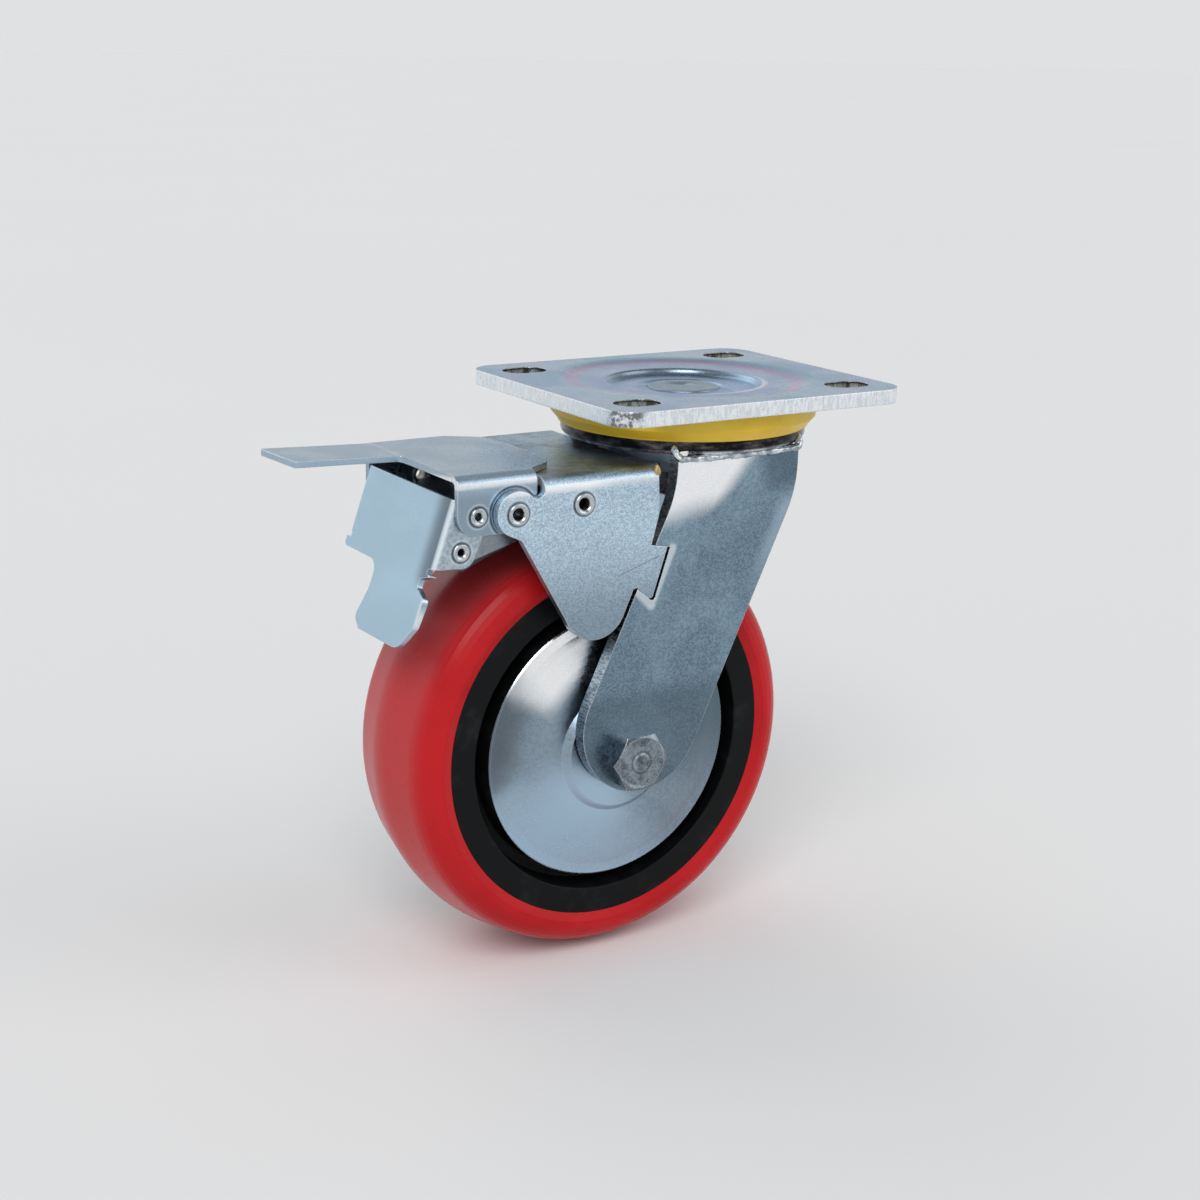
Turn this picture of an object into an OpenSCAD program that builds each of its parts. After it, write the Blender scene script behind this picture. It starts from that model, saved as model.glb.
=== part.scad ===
// Swivel castor with a pedal that locks its wheel and its swivel together.
// The origin is the centre of the plate's mounting face, on the swivel axis. +Z leaves the mounting
// face, the wheel and the pedal trail towards -X, and every size is in millimetres.

/* [Top plate] */
// Length of the plate, along the direction of travel
plate_l = 114; // [108:1:130]
// Width of the plate
plate_w = 102; // [98:1:120]
// Thickness of the plate
plate_t = 5; // [4:0.5:6]
// Corner radius of the plate
plate_corner_r = 10; // [4:1:14]
// Distance between slot centres along the direction of travel
slot_pitch_x = 84; // [80:1:90]
// Distance between slot centres across the direction of travel
slot_pitch_y = 72; // [70:1:78]
// Width of a bolt slot
slot_w = 12; // [9:0.5:12.5]
// Length of a bolt slot, end to end
slot_l = 16; // [14:0.5:19]
// Radius of the pressed dish
dish_r = 45; // [42:1:46]
// Depth of the dish over the upper balls
step_depth = 2.6; // [1.5:0.1:3.5]
// Depth of the dish at its middle
dish_depth = 5; // [4:0.1:6]
// Radius of the flat floor of the dish
floor_r = 14; // [13:0.5:18]

/* [Swivel] */
// Radius of the king pin
king_r = 8; // [7:0.5:9]
// Radius of the king pin's riveted head
king_head_r = 11.7; // [10.5:0.1:12.5]
// Height of the riveted head above the floor of the dish
king_head_h = 1.2; // [0.8:0.1:2.5]
// Radius of the king pin's shoulder
king_shoulder_r = 10; // [9.5:0.5:11]
// Width of the king nut across its flats
king_nut_af = 24; // [22:1:27]
// Height of the king nut
king_nut_h = 11; // [8:1:13]
// Radius of an upper ball
upper_ball_r = 3; // [2.5:0.1:3.3]
// Radius of the circle of upper balls
upper_path_r = 34; // [32:0.5:35]
// Number of upper balls
upper_balls_n = 30; // [20:1:30]
// Radius of a lower ball
lower_ball_r = 2.5; // [2:0.1:2.8]
// Radius of the circle of lower balls
lower_path_r = 24; // [22:0.5:26]
// Number of lower balls
lower_balls_n = 24; // [16:1:25]
// Depth that a ball sits in each groove
groove_depth = 0.4; // [0.2:0.1:0.6]
// Clearance between the balls and their grooves
ball_gap = 0.1; // [0.05:0.05:0.15]
// Thickness of the lower race
race_t = 2.8; // [2:0.1:3.5]
// Radius of the lower race
race_r = 29.5; // [28:0.5:30]
// Radius of the lock ring
ring_r = 30.2; // [29:0.1:30.5]
// Thickness of the lock ring
ring_t = 4; // [3:0.5:5]
// Number of notches in the lock ring
notch_n = 24; // [12:12:24]
// Width of a notch
notch_w = 4.6; // [4.2:0.1:5]
// Depth of a notch
notch_depth = 4.2; // [4:0.1:5]

/* [Dust seal] */
// Outer radius of the seal
seal_r = 45.5; // [44:0.5:47]
// Thickness of the seal's lip outside the crown
seal_lip = 0.9; // [0.6:0.1:1.5]
// Height that the lip reaches down over the crown
seal_over = 1.4; // [1:0.2:2.4]
// Clearance between the seal and the plate
seal_gap = 0.3; // [0.2:0.1:0.6]

/* [Fork] */
// Outer radius of the crown
crown_r = 42; // [41:0.5:43]
// Height of the crown
crown_h = 6.2; // [5.6:0.1:7]
// Thickness of the crown's deck
crown_t = 4; // [3.5:0.1:4.5]
// Radius of the crown's rounded edges
crown_edge_r = 2.5; // [1:0.5:3]
// Radius of the hole in the crown
crown_bore_r = 12; // [11.5:0.5:14]
// Width between the inner faces of the legs
fork_gap = 62; // [60:1:66]
// Thickness of a leg
leg_t = 5; // [4:0.5:6]
// Width of the slanted stretch of a leg
leg_w = 45.4; // [42:0.5:48]
// Width of a leg at the crown
leg_top_w = 48.4; // [46:0.5:50]
// Distance of the leg's top behind the swivel axis
leg_top_back = 1.2; // [0:0.1:3]
// Drop from the mounting face to the knee of the leg
knee_drop = 31.9; // [30:0.5:36]
// Radius of the bend at the knee
knee_r = 40; // [10:5:45]
// Distance of the leg's round end above the axle, along the leg
leg_end_back = 10.7; // [8:0.1:12]
// Gap between the leg's horns and the seal above them
horn_gap = 3; // [0.2:0.1:4]

/* [Wheel] */
// Radius of the tread
wheel_r = 75; // [72:0.5:76]
// Width of the tyre
wheel_w = 48.8; // [44:0.2:49]
// Slope of the tread towards its shoulders, in degrees
tread_slope = 11; // [4:0.5:14]
// Radius of the tread across its middle
tread_r = 25; // [10:5:60]
// Radius of the tyre's shoulders
shoulder_r = 9.2; // [6:0.1:10]
// Distance of the axle behind the swivel axis
trail = 41.4; // [38:0.2:44]
// Drop from the mounting face to the axle
axle_drop = 118.5; // [118:0.5:123]
// Thickness of the tyre at the middle of its tread
tyre_t = 14.8; // [13:0.2:17]
// Width of the core
core_w = 46.6; // [44:0.2:47]
// Inner radius of the core's rim
rim_r = 51.3; // [49:0.1:53]
// Thickness of the core's web
web_t = 11; // [8:0.5:16]
// Outer radius of the hub
hub_r = 26; // [24:0.5:30]
// Outer radius of a dust cap
cap_r = 46.2; // [43:0.1:47]
// Thickness of a dust cap
cap_t = 1; // [0.8:0.1:1.4]
// Radius of the raised boss of a dust cap
boss_r = 20; // [18:0.5:23]
// Radius of the hole in a dust cap
cap_bore_r = 11.8; // [11.8:0.1:14]

/* [Axle and bearings] */
// Radius of the axle bolt
bolt_r = 6; // [5:0.5:6.5]
// Width of the bolt head across its flats
bolt_af = 18; // [17:0.5:19]
// Height of the bolt head
bolt_head_h = 7.5; // [6:0.5:9]
// Height of the axle nut
nut_h = 11; // [8:0.5:13]
// Outer radius of the axle sleeve, the bore of the bearings
sleeve_r = 8.5; // [7.5:0.5:9]
// Outer radius of a bearing
bearing_r = 20; // [18:0.5:21]
// Width of a bearing
bearing_w = 12; // [10:0.5:13]
// Distance between the two bearings
bearing_gap = 18; // [12:1:18]
// Number of balls in a bearing
bearing_balls_n = 8; // [6:1:8]
// Wall of the hub spacers
spacer_wall = 2.8; // [2:0.1:3]

/* [Brake housing] */
// Drop from the mounting face to the housing's top
housing_drop = 21.2; // [21:0.1:21.6]
// Thickness of the housing's sheet
housing_t = 3; // [2:0.2:3]
// Outer radius of the housing's folds
housing_bend_r = 4; // [3.5:0.1:5]
// Distance of the housing's front edge behind the swivel axis
housing_front = 75.1; // [74:0.1:76]
// Distance of the housing's rear edge behind the swivel axis
housing_rear = 33; // [32:0.2:36]
// Radius of the ears that carry the pedal
ear_r = 7.3; // [6:0.1:8]
// Radius of the notch between an ear and the fold
ear_notch_r = 2.5; // [1.5:0.1:2.5]
// Radius of the lobe at the foot of a side plate
lobe_r = 11.5; // [9:0.1:13]
// Distance of the lobe behind the swivel axis
lobe_back = 55.7; // [55:0.1:58]
// Drop from the mounting face to the lobe's centre
lobe_drop = 64.8; // [61:0.1:66]
// Drop from the mounting face to the saw tooth
tooth_drop = 48; // [44:0.5:50]
// Length of the saw tooth along the leg
tooth_l = 14.3; // [12:0.1:17]
// Depth of the saw tooth's upper end into the leg
tooth_depth = 4.6; // [3:0.1:6]
// Distance that the housing's edge stands in front of the leg beside the tooth
tooth_lead = 1.6; // [0.5:0.1:2.5]
// Gap at the saw tooth's ends
tooth_gap = 0.25; // [0.1:0.05:0.4]
// Gap at the saw tooth's inner side
tooth_side_gap = 1.1; // [0.2:0.1:1.6]

/* [Pedal linkage] */
// Distance of the pedal's pivot behind the swivel axis
pedal_back = 84.6; // [84:0.2:86]
// Drop from the housing's top to the pedal's pivot
pedal_drop = 10.5; // [10:0.1:11.5]
// Distance from the pedal's pivot to the release plate's pivot
release_arm = 12.3; // [11.5:0.1:13]
// Drop from the pedal's pivot to the release plate's pivot
release_drop = 0.2; // [0:0.1:0.6]
// Distance from the release plate's pivot down to the link pin, along the plate
link_arm = 12.2; // [11.5:0.1:13]
// Distance of the link pin in front of the release plate's pivot
link_front = 0.9; // [0.5:0.1:1.5]
// Distance of the lever's pivot behind the swivel axis
lever_back = 60.8; // [60:0.2:62]
// Drop from the housing's top to the lever's pivot
lever_drop = 9.6; // [9.4:0.1:10.4]
// Travel of the pedal in degrees
pedal_travel = 34; // [20:1:34]
// Turn of the lever for each degree of the pedal
lever_ratio = 0.31; // [0.3:0.005:0.32]
// Radius of the large rivets, at the pedal and lever pivots
big_rivet_r = 2.8; // [2.4:0.1:3]
// Radius of the small rivets, at the release plate and link pin
small_rivet_r = 2.1; // [1.8:0.1:2.2]
// Width that a rivet's head stands out all round
rivet_lip = 0.8; // [0.6:0.1:1]
// Height of a rivet's head
rivet_head_h = 0.8; // [0.5:0.1:0.9]
// Wall of the hollow rivets
rivet_wall = 1; // [0.8:0.1:1.1]
// Clearance of a rivet in its holes
rivet_fit = 0.05; // [0.02:0.01:0.08]
// Clearance of the link pin in the lever
link_play = 0.5; // [0.4:0.05:0.7]
// Side clearance between parts that slide past each other
side_gap = 0.3; // [0.2:0.05:0.4]

/* [Pedal] */
// Thickness of the pedal's sheet
pedal_t = 2; // [1.6:0.1:2.2]
// Outer radius of the pedal's folds
pedal_bend_r = 3.5; // [2.5:0.1:4]
// Clearance between the pedal's hood and the housing's top
hood_gap = 0.2; // [0.1:0.05:0.4]
// Distance of the hood's front edge in front of the release pivot
hood_front = 7.2; // [6.6:0.1:8]
// Distance of the hood's rear edge behind the swivel axis
hood_rear = 64; // [62:0.5:67]
// Depth of the pedal's flanges below the pedal pivot
flange_depth = 6.3; // [5.6:0.1:7]
// Length of the neck that climbs to the toe plate
neck_l = 8.4; // [6:0.2:11]
// Height of the toe plate above the hood
toe_rise = 3.9; // [2:0.1:6]
// Length of the toe plate
toe_l = 37.5; // [30:0.5:50]
// Width of the toe plate
toe_w = 22; // [18:0.5:30]
// Flare of the toe plate at its tip, on each side
toe_flare = 0.6; // [0:0.1:3]
// Slant of the toe plate's tip, shorter on the right side by this much
toe_slant = 1.9; // [0:0.1:4]
// Climb of the toe plate towards its tip
toe_climb = 1.4; // [0:0.1:3]

/* [Release plate] */
// Thickness of the release plate's sheet
release_t = 2; // [1.6:0.1:2.2]
// Outer radius of the release plate's folds
release_bend_r = 3; // [2.2:0.1:4]
// Lean of the release plate in degrees
release_lean = 18.7; // [18:0.1:20]
// Distance of the plate's face in front of its pivot
release_face = 8.9; // [8.6:0.1:9.6]
// Height of the plate's top edge above its pivot
release_top = 3; // [2:0.1:4]
// Depth of the face below its pivot
release_depth = 24.8; // [22:0.1:26]
// Depth of the tongue below the face
tongue_l = 22.7; // [15:0.1:26]
// Width of the tongue at its tip
tongue_w = 40; // [34:0.5:46]

/* [Brake lever] */
// Thickness of the lever's sheet
lever_t = 2.5; // [2:0.1:2.5]
// Radius of the lever's cheeks at its pivot
lever_pivot_r = 6; // [5.8:0.1:6.2]
// Radius of the lever's cheeks at the link pin
lever_link_r = 5.3; // [5.2:0.1:5.6]
// Thickness of the tongue that carries the fingers
finger_t = 3; // [2:0.1:3.2]
// Width of a finger
finger_w = 3.4; // [2.6:0.1:3.6]
// Number of fingers
finger_n = 3; // [1:2:3]
// Height of the fingers' top above the lock ring's lower face when the brake is on
finger_bite = 2; // [1:0.1:2.4]
// Thickness of the shoe's pad
pad_t = 4; // [3:0.5:5]
// Width of the shoe's pad
pad_w = 30; // [20:1:36]
// Place of the shoe on the tread, in degrees round the wheel
shoe_angle = 122; // [119:1:124]
// Arc of the shoe's pad in degrees
shoe_arc = 13; // [10:1:16]
// Clearance between the shoe and the tread when the brake is on
shoe_gap = 0.3; // [0.2:0.1:1]
// Radius of the return spring's wire
spring_wire_r = 0.6; // [0.5:0.1:0.7]
// Turns of the return spring
spring_turns = 3.25; // [2.25:1:3.25]

/* [Hidden] */
$fn = 64;
// Steps in each rounded corner of an outline
corner_steps = 6;
// A cut runs past the faces that it opens by this much
past = 1;
// Width of everything, for cutters that span the whole castor
span = 400;

// Heights, from the mounting face downwards
upper_ball_z = dish_z(upper_path_r) - plate_t - upper_ball_r + groove_depth;
deck_z = upper_ball_z - upper_ball_r + groove_depth;
deck_under_z = deck_z - crown_t;
lower_ball_z = deck_under_z - lower_ball_r + groove_depth;
race_z = lower_ball_z - lower_ball_r + groove_depth;
ring_z = race_z - race_t;
king_nut_z = ring_z - ring_t;
crown_foot_z = deck_z - crown_h;
housing_top_z = -housing_drop;
pedal_top_z = housing_top_z + hood_gap + pedal_t;

// Widths, from the middle outwards
leg_face = fork_gap / 2 + leg_t;
housing_in = leg_face - housing_t;
pedal_half = housing_in - side_gap;
release_half = pedal_half - pedal_t - side_gap;
lever_half = release_half - release_t - rivet_head_h - 2 * rivet_fit - side_gap;
tab_half = pedal_half - pedal_bend_r;

// Places in the side view, as [x, z]
axle = [-trail, -axle_drop];
knee = [-leg_top_back, -knee_drop];
leg_angle = atan((trail - leg_top_back) / (axle_drop - knee_drop));
leg_dir = [-sin(leg_angle), -cos(leg_angle)];
leg_in = [cos(leg_angle), -sin(leg_angle)];
leg_half_x = leg_w / 2 / cos(leg_angle);
tooth_at = [front_edge_x(-tooth_drop), -tooth_drop];
lobe = [-lobe_back, -lobe_drop];
pedal_pivot = [-pedal_back, housing_top_z - pedal_drop];
release_pivot = pedal_pivot - [release_arm, release_drop];
link_at = release_pivot + turned([-link_front, -link_arm], -release_lean);
lever_pivot = [-lever_back, housing_top_z - lever_drop];
lever_travel = pedal_travel * lever_ratio;

// Outer radius of the core, which the tyre is bonded to
core_r = wheel_r - tyre_t;

// Bearing places
bearing_in = bearing_gap / 2;
bearing_out = bearing_in + bearing_w;
bearing_mid_r = (sleeve_r + bearing_r) / 2;
bearing_ball_r = (bearing_r - sleeve_r) * 0.28;
race_wall = (bearing_r - sleeve_r) * 0.3;
spacer_r = sleeve_r + spacer_wall;

// Foot of the release plate's flanges below its pivot
release_foot = -link_arm - lever_link_r - 2.6;

// Fingers: their top rises by the lever's travel into the lock ring
finger_from = ring_r - notch_depth + 0.7;
finger_reach = lever_back - finger_from;
finger_top = (ring_z - ring_t + finger_bite - lever_pivot.y - finger_reach * sin(lever_travel))
    / cos(lever_travel);
finger_z = lever_pivot.y + finger_top;

// Turns a side-view vector by an angle, anticlockwise as seen from the right side
function turned(v, a) = [v.x * cos(a) - v.y * sin(a), v.x * sin(a) + v.y * cos(a)];
function unit(v) = v / norm(v);
function smooth(t) = t <= 0 ? 0 : t >= 1 ? 1 : t * t * (3 - 2 * t);
// Height of the plate's upper face at a distance r from the swivel axis
function dish_z(r) =
    -step_depth * smooth((dish_r - r) / (dish_r - upper_path_r - 1))
    - (dish_depth - step_depth) * smooth((upper_path_r - 3 - r) / (upper_path_r - 3 - floor_r));
// Front edge of a leg's slanted stretch at height z
function front_edge_x(z) = knee.x + tan(leg_angle) * (z - knee.y) - leg_half_x;
// One corner of an outline, rounded to radius r
function corner(a, p, b, r) =
    r <= 0 ? [p] :
    let (
        u = unit(a - p),
        v = unit(b - p),
        half = acos(u * v) / 2,
        c = p + unit(u + v) * r / sin(half),
        first = p + u * r / tan(half) - c,
        last = p + v * r / tan(half) - c,
        start = atan2(first.y, first.x),
        sweep = (atan2(last.y, last.x) - start + 540) % 360 - 180
    )
    [for (i = [0:corner_steps]) c + turned([r, 0], start + sweep * i / corner_steps)];
// An outline whose corners have the radii given with them, as [x, y, r]
function rounded(pts) =
    let (n = len(pts))
    [for (i = [0:n - 1]) each corner(
        [pts[(i + n - 1) % n].x, pts[(i + n - 1) % n].y],
        [pts[i].x, pts[i].y],
        [pts[(i + 1) % n].x, pts[(i + 1) % n].y],
        pts[i][2])];

// Points round a centre from one angle to another
function arc(c, r, from, to) =
    let (n = max(3, ceil(abs(to - from) / 6)))
    [for (i = [0:n]) c + turned([r, 0], from + (to - from) * i / n)];
// Two circles with a straight belt round them
function belt(p, p_r, q, q_r) =
    let (
        t = atan2(q.y - p.y, q.x - p.x),
        a = acos((p_r - q_r) / norm(q - p))
    )
    concat(arc(p, p_r, t + a, t + 360 - a), arc(q, q_r, t - a, t + a));
// Points as sharp corners of an outline for rounded()
function sharp(pts) = [for (p = pts) [p.x, p.y, 0]];

// A sheet that stands in the XZ plane, from y_low up to y_low + t, drawn as its side view
module upright(y_low, t) {
    translate([0, y_low + t, 0])
        rotate([90, 0, 0])
            linear_extrude(t)
                children();
}

// A solid on each side of the middle
module both_sides() {
    children();
    mirror([0, 1, 0]) children();
}

// A rod across the castor from y_low to y_high, at a place in the side view
module rod(at, r, y_low, y_high) {
    translate([at.x, y_high, at.y])
        rotate([90, 0, 0])
            cylinder(r = r, h = y_high - y_low);
}

// A turned solid about the axle, from its section drawn as [radius, y]
module about_axle() {
    translate([axle.x, 0, axle.y])
        rotate([-90, 0, 0])
            rotate_extrude($fn = 128)
                children();
}

module hexagon(af) {
    circle(r = af / 2 / cos(30), $fn = 6);
}

// Section of a folded channel, open below: half width, top height, sheet, fold radius and depth
module channel(half, top, t, bend_r, depth) {
    difference() {
        fold(half, top, bend_r, depth);
        fold(half - t, top - t, bend_r - t, depth + past);
    }
}

module fold(half, top, r, depth) {
    translate([-half, top - depth]) square([2 * half, depth - r]);
    translate([r - half, top - depth]) square([2 * (half - r), depth]);
    translate([r - half, top - r]) circle(r = r);
    translate([half - r, top - r]) circle(r = r);
}

// A hollow rivet through sheets from y_low to y_high, with a flat head on each end
module rivet(at, r, y_low, y_high, head_h = rivet_head_h) {
    difference() {
        union() {
            rod(at, r, y_low, y_high);
            rod(at, r + rivet_lip, y_high, y_high + head_h);
            rod(at, r + rivet_lip, y_low - head_h, y_low);
        }
        rod(at, r - rivet_wall, y_low - head_h - past, y_high + head_h + past);
    }
}

// Top plate: a slab with slots and a dish pressed down over the balls
module top_plate() {
    color("lightsteelblue")
    difference() {
        union() {
            translate([0, 0, -plate_t]) linear_extrude(plate_t) plate_outline();
            rotate_extrude($fn = 128) dish_section(-plate_t, -plate_t + past);
        }
        rotate_extrude($fn = 128) dish_section(0, past);
        translate([0, 0, -dish_depth - plate_t - past])
            cylinder(r = king_r + rivet_fit, h = plate_t + dish_depth + 2 * past);
        rotate_extrude($fn = 128)
            translate([upper_path_r, upper_ball_z]) circle(r = upper_ball_r + ball_gap);
        for (x = [-1, 1], y = [-1, 1])
            translate([x * slot_pitch_x / 2, y * slot_pitch_y / 2, -plate_t - past])
                linear_extrude(plate_t + 2 * past) slot();
    }
}

module plate_outline() {
    r = plate_corner_r;
    square([plate_l - 2 * r, plate_w], center = true);
    square([plate_l, plate_w - 2 * r], center = true);
    for (x = [-1, 1], y = [-1, 1])
        translate([x * (plate_l / 2 - r), y * (plate_w / 2 - r)]) circle(r = r);
}

module slot() {
    straight = slot_l - slot_w;
    square([straight, slot_w], center = true);
    for (x = [-1, 1]) translate([x * straight / 2, 0]) circle(d = slot_w);
}

// Section between the pressed surface, shifted by low, and the height high
module dish_section(low, high) {
    dish_steps = 24;
    polygon(concat(
        [[0, high], [0, dish_z(0) + low], [floor_r, dish_z(floor_r) + low]],
        [for (i = [1:dish_steps])
            let (r = floor_r + (dish_r - floor_r) * i / dish_steps)
            [r, dish_z(r) + low]],
        [[dish_r, high]]));
}

module king_pin() {
    floor_z = dish_z(0);
    end_z = king_nut_z - king_nut_h - 1.5;
    color("silver")
    rotate_extrude()
        polygon([
            [0, floor_z + king_head_h], [king_head_r - 0.8, floor_z + king_head_h],
            [king_head_r, floor_z + king_head_h / 2], [king_head_r, floor_z], [king_r, floor_z],
            [king_r, floor_z - plate_t], [king_shoulder_r, floor_z - plate_t],
            [king_shoulder_r, race_z], [king_r, race_z], [king_r, end_z + 1], [king_r - 1, end_z],
            [0, end_z]
        ]);
}

module king_nut() {
    color("silver")
    translate([0, 0, king_nut_z - king_nut_h])
    difference() {
        intersection() {
            linear_extrude(king_nut_h) hexagon(king_nut_af);
            nut_cone(king_nut_af, king_nut_h);
        }
        translate([0, 0, -past]) cylinder(r = king_r + rivet_fit, h = king_nut_h + 2 * past);
    }
}

// Turned envelope that chamfers both ends of a hexagon
module nut_cone(af, h) {
    tip_r = af / 2 / cos(30);
    flat_r = af * 0.48;
    drop = (tip_r - flat_r) * 0.58;
    rotate_extrude()
        polygon([[0, 0], [flat_r, 0], [tip_r, drop], [tip_r, h - drop], [flat_r, h], [0, h]]);
}

// A ring of loose balls about the swivel axis
module ball_ring(n, path_r, z, r) {
    for (i = [0:n - 1])
        rotate([0, 0, 360 * i / n]) translate([path_r, 0, z]) sphere(r = r, $fn = 24);
}

module upper_balls() {
    color("gainsboro") ball_ring(upper_balls_n, upper_path_r, upper_ball_z, upper_ball_r);
}

module lower_balls() {
    color("gainsboro") ball_ring(lower_balls_n, lower_path_r, lower_ball_z, lower_ball_r);
}

module lower_race() {
    color("silver")
    rotate_extrude()
        difference() {
            translate([king_r + rivet_fit, race_z - race_t])
                square([race_r - king_r - rivet_fit, race_t]);
            translate([lower_path_r, lower_ball_z]) circle(r = lower_ball_r + ball_gap);
        }
}

// Lock ring: a disc with a notch for the lever's fingers at each step of the swivel
module lock_ring() {
    color("slategray")
    translate([0, 0, ring_z - ring_t])
    difference() {
        cylinder(r = ring_r, h = ring_t);
        translate([0, 0, -past]) cylinder(r = king_r + rivet_fit, h = ring_t + 2 * past);
        for (i = [0:notch_n - 1])
            rotate([0, 0, 360 * i / notch_n])
                translate([ring_r - notch_depth, -notch_w / 2, -past])
                    cube([notch_depth + past, notch_w, ring_t + 2 * past]);
    }
}

// Dust seal: a ring under the plate with a lip over the crown's edge
module dust_seal() {
    inner_r = crown_r - 2.5;
    top_z = -plate_t - seal_gap;
    color("gold")
    rotate_extrude($fn = 128)
        polygon([
            [inner_r, dish_z(inner_r) - plate_t - seal_gap], [dish_r, top_z - 0.1],
            [seal_r - 0.5, top_z - 0.1], [seal_r, top_z - 0.6], [seal_r, deck_z + 2],
            [crown_r + seal_lip, deck_z - 1], [crown_r + seal_lip, deck_z - seal_over],
            [crown_r, deck_z - seal_over], [crown_r, deck_z], [inner_r, deck_z]
        ]);
}

// Crown: a pressed dish that runs on the balls above and below its deck
module fork_crown() {
    skirt_t = crown_t + 0.5;
    skirt_in = crown_r - skirt_t;
    color("lightslategray")
    rotate_extrude($fn = 128)
        difference() {
            polygon(rounded([
                [crown_bore_r, deck_z, 0], [crown_r, deck_z, 0.6],
                [crown_r, crown_foot_z, crown_edge_r], [skirt_in, crown_foot_z, 0.6],
                [skirt_in, deck_under_z, 0.6], [crown_bore_r, deck_under_z, 0]
            ]));
            translate([upper_path_r, upper_ball_z]) circle(r = upper_ball_r + ball_gap);
            translate([lower_path_r, lower_ball_z]) circle(r = lower_ball_r + ball_gap);
        }
}

// Side view of a leg: upright under the crown, then slanted back to the axle
module leg_outline() {
    top_front = knee.x - leg_top_w / 2;
    top_rear = knee.x + leg_top_w / 2;
    knee_shift = (leg_half_x - leg_top_w / 2) / tan(leg_angle);
    end_at = axle - leg_end_back * leg_dir;
    horn_z = deck_z - seal_over - horn_gap;
    difference() {
        polygon(rounded(concat(
            [
                [top_front, horn_z, 1], [top_rear, horn_z, 1],
                [top_rear, knee.y - knee_shift, knee_r]
            ],
            sharp(arc(end_at, leg_w / 2, -leg_angle, -180 - leg_angle)),
            [[top_front, knee.y + knee_shift, knee_r]])));
        polygon(tooth(tooth_gap, tooth_side_gap));
    }
}

// Saw tooth of the housing that keys into a leg, from its upper end down, grown by a gap at its ends
// and one at its inner side. Its corners are given as [along the leg, depth into it].
function tooth(end_gap, inner_gap) =
    let (
        top = [-1.8 - end_gap, tooth_depth + inner_gap],
        tip = [tooth_l + 2.3 + end_gap, tooth_depth + 2.2 + inner_gap],
        foot = [tooth_l + end_gap, -0.4],
        pts = concat(
            [[-0.2 - end_gap, -tooth_lead], top],
            corner(top, tip, foot, 1.2),
            [foot, [tooth_l + end_gap + 0.9, -tooth_lead]])
    )
    [for (p = pts) tooth_at + leg_dir * p.x + leg_in * p.y];

module fork_leg() {
    difference() {
        upright(-leg_face, leg_t) leg_outline();
        translate([0, 0, crown_foot_z]) cylinder(r = crown_r, h = crown_h + past, $fn = 128);
        rod(axle, bolt_r + rivet_fit, -leg_face - past, -fork_gap / 2 + past);
    }
}

module fork_leg_right() {
    color("lightsteelblue") fork_leg();
}

module fork_leg_left() {
    color("lightsteelblue") mirror([0, 1, 0]) fork_leg();
}

// Angle, about a circle's centre, of the point where a line from p touches it
function touch(p, c, r, side) =
    atan2(p.y - c.y, p.x - c.x) + side * acos(r / norm(p - c));

// Side view of the housing: ears in front, saw tooth behind, a lobe below
module housing_outline() {
    front = -housing_front;
    notch_turn = acos((front - ear_notch_r - pedal_pivot.x) / (ear_r + ear_notch_r));
    notch_at = pedal_pivot + turned([ear_r + ear_notch_r, 0], notch_turn);
    ear_foot = pedal_pivot - [-1.4, ear_r + 1.4];
    teeth = tooth(0, 0);
    tooth_foot = teeth[len(teeth) - 1];
    polygon(concat(
        [[-housing_rear, housing_top_z + past], [-housing_rear + 0.7, tooth_at.y + 11.2]],
        teeth,
        arc(lobe, lobe_r, touch(tooth_foot, lobe, lobe_r, -1), touch(ear_foot, lobe, lobe_r, 1) - 360),
        [ear_foot],
        arc(pedal_pivot, ear_r, -112, notch_turn - 360),
        arc(notch_at, ear_notch_r, 180 + notch_turn, 360),
        [[front, housing_top_z + past]]));
}

// Brake housing: one channel folded from sheet, with ears, lobes and saw teeth
module brake_housing() {
    depth = lobe_drop + lobe_r + housing_top_z + past;
    color("lightsteelblue")
    difference() {
        intersection() {
            translate([-housing_front - span / 2, 0, 0])
                rotate([90, 0, 90])
                    linear_extrude(span)
                        channel(leg_face, housing_top_z, housing_t, housing_bend_r, depth);
            upright(-span / 2, span) housing_outline();
        }
        translate([0, 0, -lobe_drop]) cylinder(r = ring_r + 3, h = lobe_drop);
        translate([-housing_front - 30, -housing_in, -lobe_drop])
            cube([30, 2 * housing_in, lobe_drop]);
        rod(pedal_pivot, big_rivet_r + rivet_fit, -span / 2, span / 2);
        rod(lever_pivot, big_rivet_r + rivet_fit, -span / 2, span / 2);
    }
}

// Axle bolt: a hexagon head with a chamfer and a round mark in its middle
module axle_bolt() {
    end_y = leg_face + nut_h + 3;
    chamfer_r = bolt_af * 0.48;
    color("silver")
    translate([axle.x, 0, axle.y])
    rotate([90, 0, 0]) {
        translate([0, 0, -end_y]) cylinder(r1 = bolt_r - 1, r2 = bolt_r, h = 1);
        translate([0, 0, 1 - end_y]) cylinder(r = bolt_r, h = end_y + leg_face - 1);
        translate([0, 0, leg_face])
            intersection() {
                linear_extrude(bolt_head_h) hexagon(bolt_af);
                rotate_extrude()
                    polygon([
                        [0, 0], [bolt_af, 0], [bolt_af, bolt_head_h - (bolt_af - chamfer_r) * 0.5],
                        [chamfer_r, bolt_head_h], [chamfer_r - 0.8, bolt_head_h - 0.3],
                        [3.2, bolt_head_h - 0.3], [2.8, bolt_head_h], [0, bolt_head_h]
                    ]);
            }
    }
}

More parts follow.
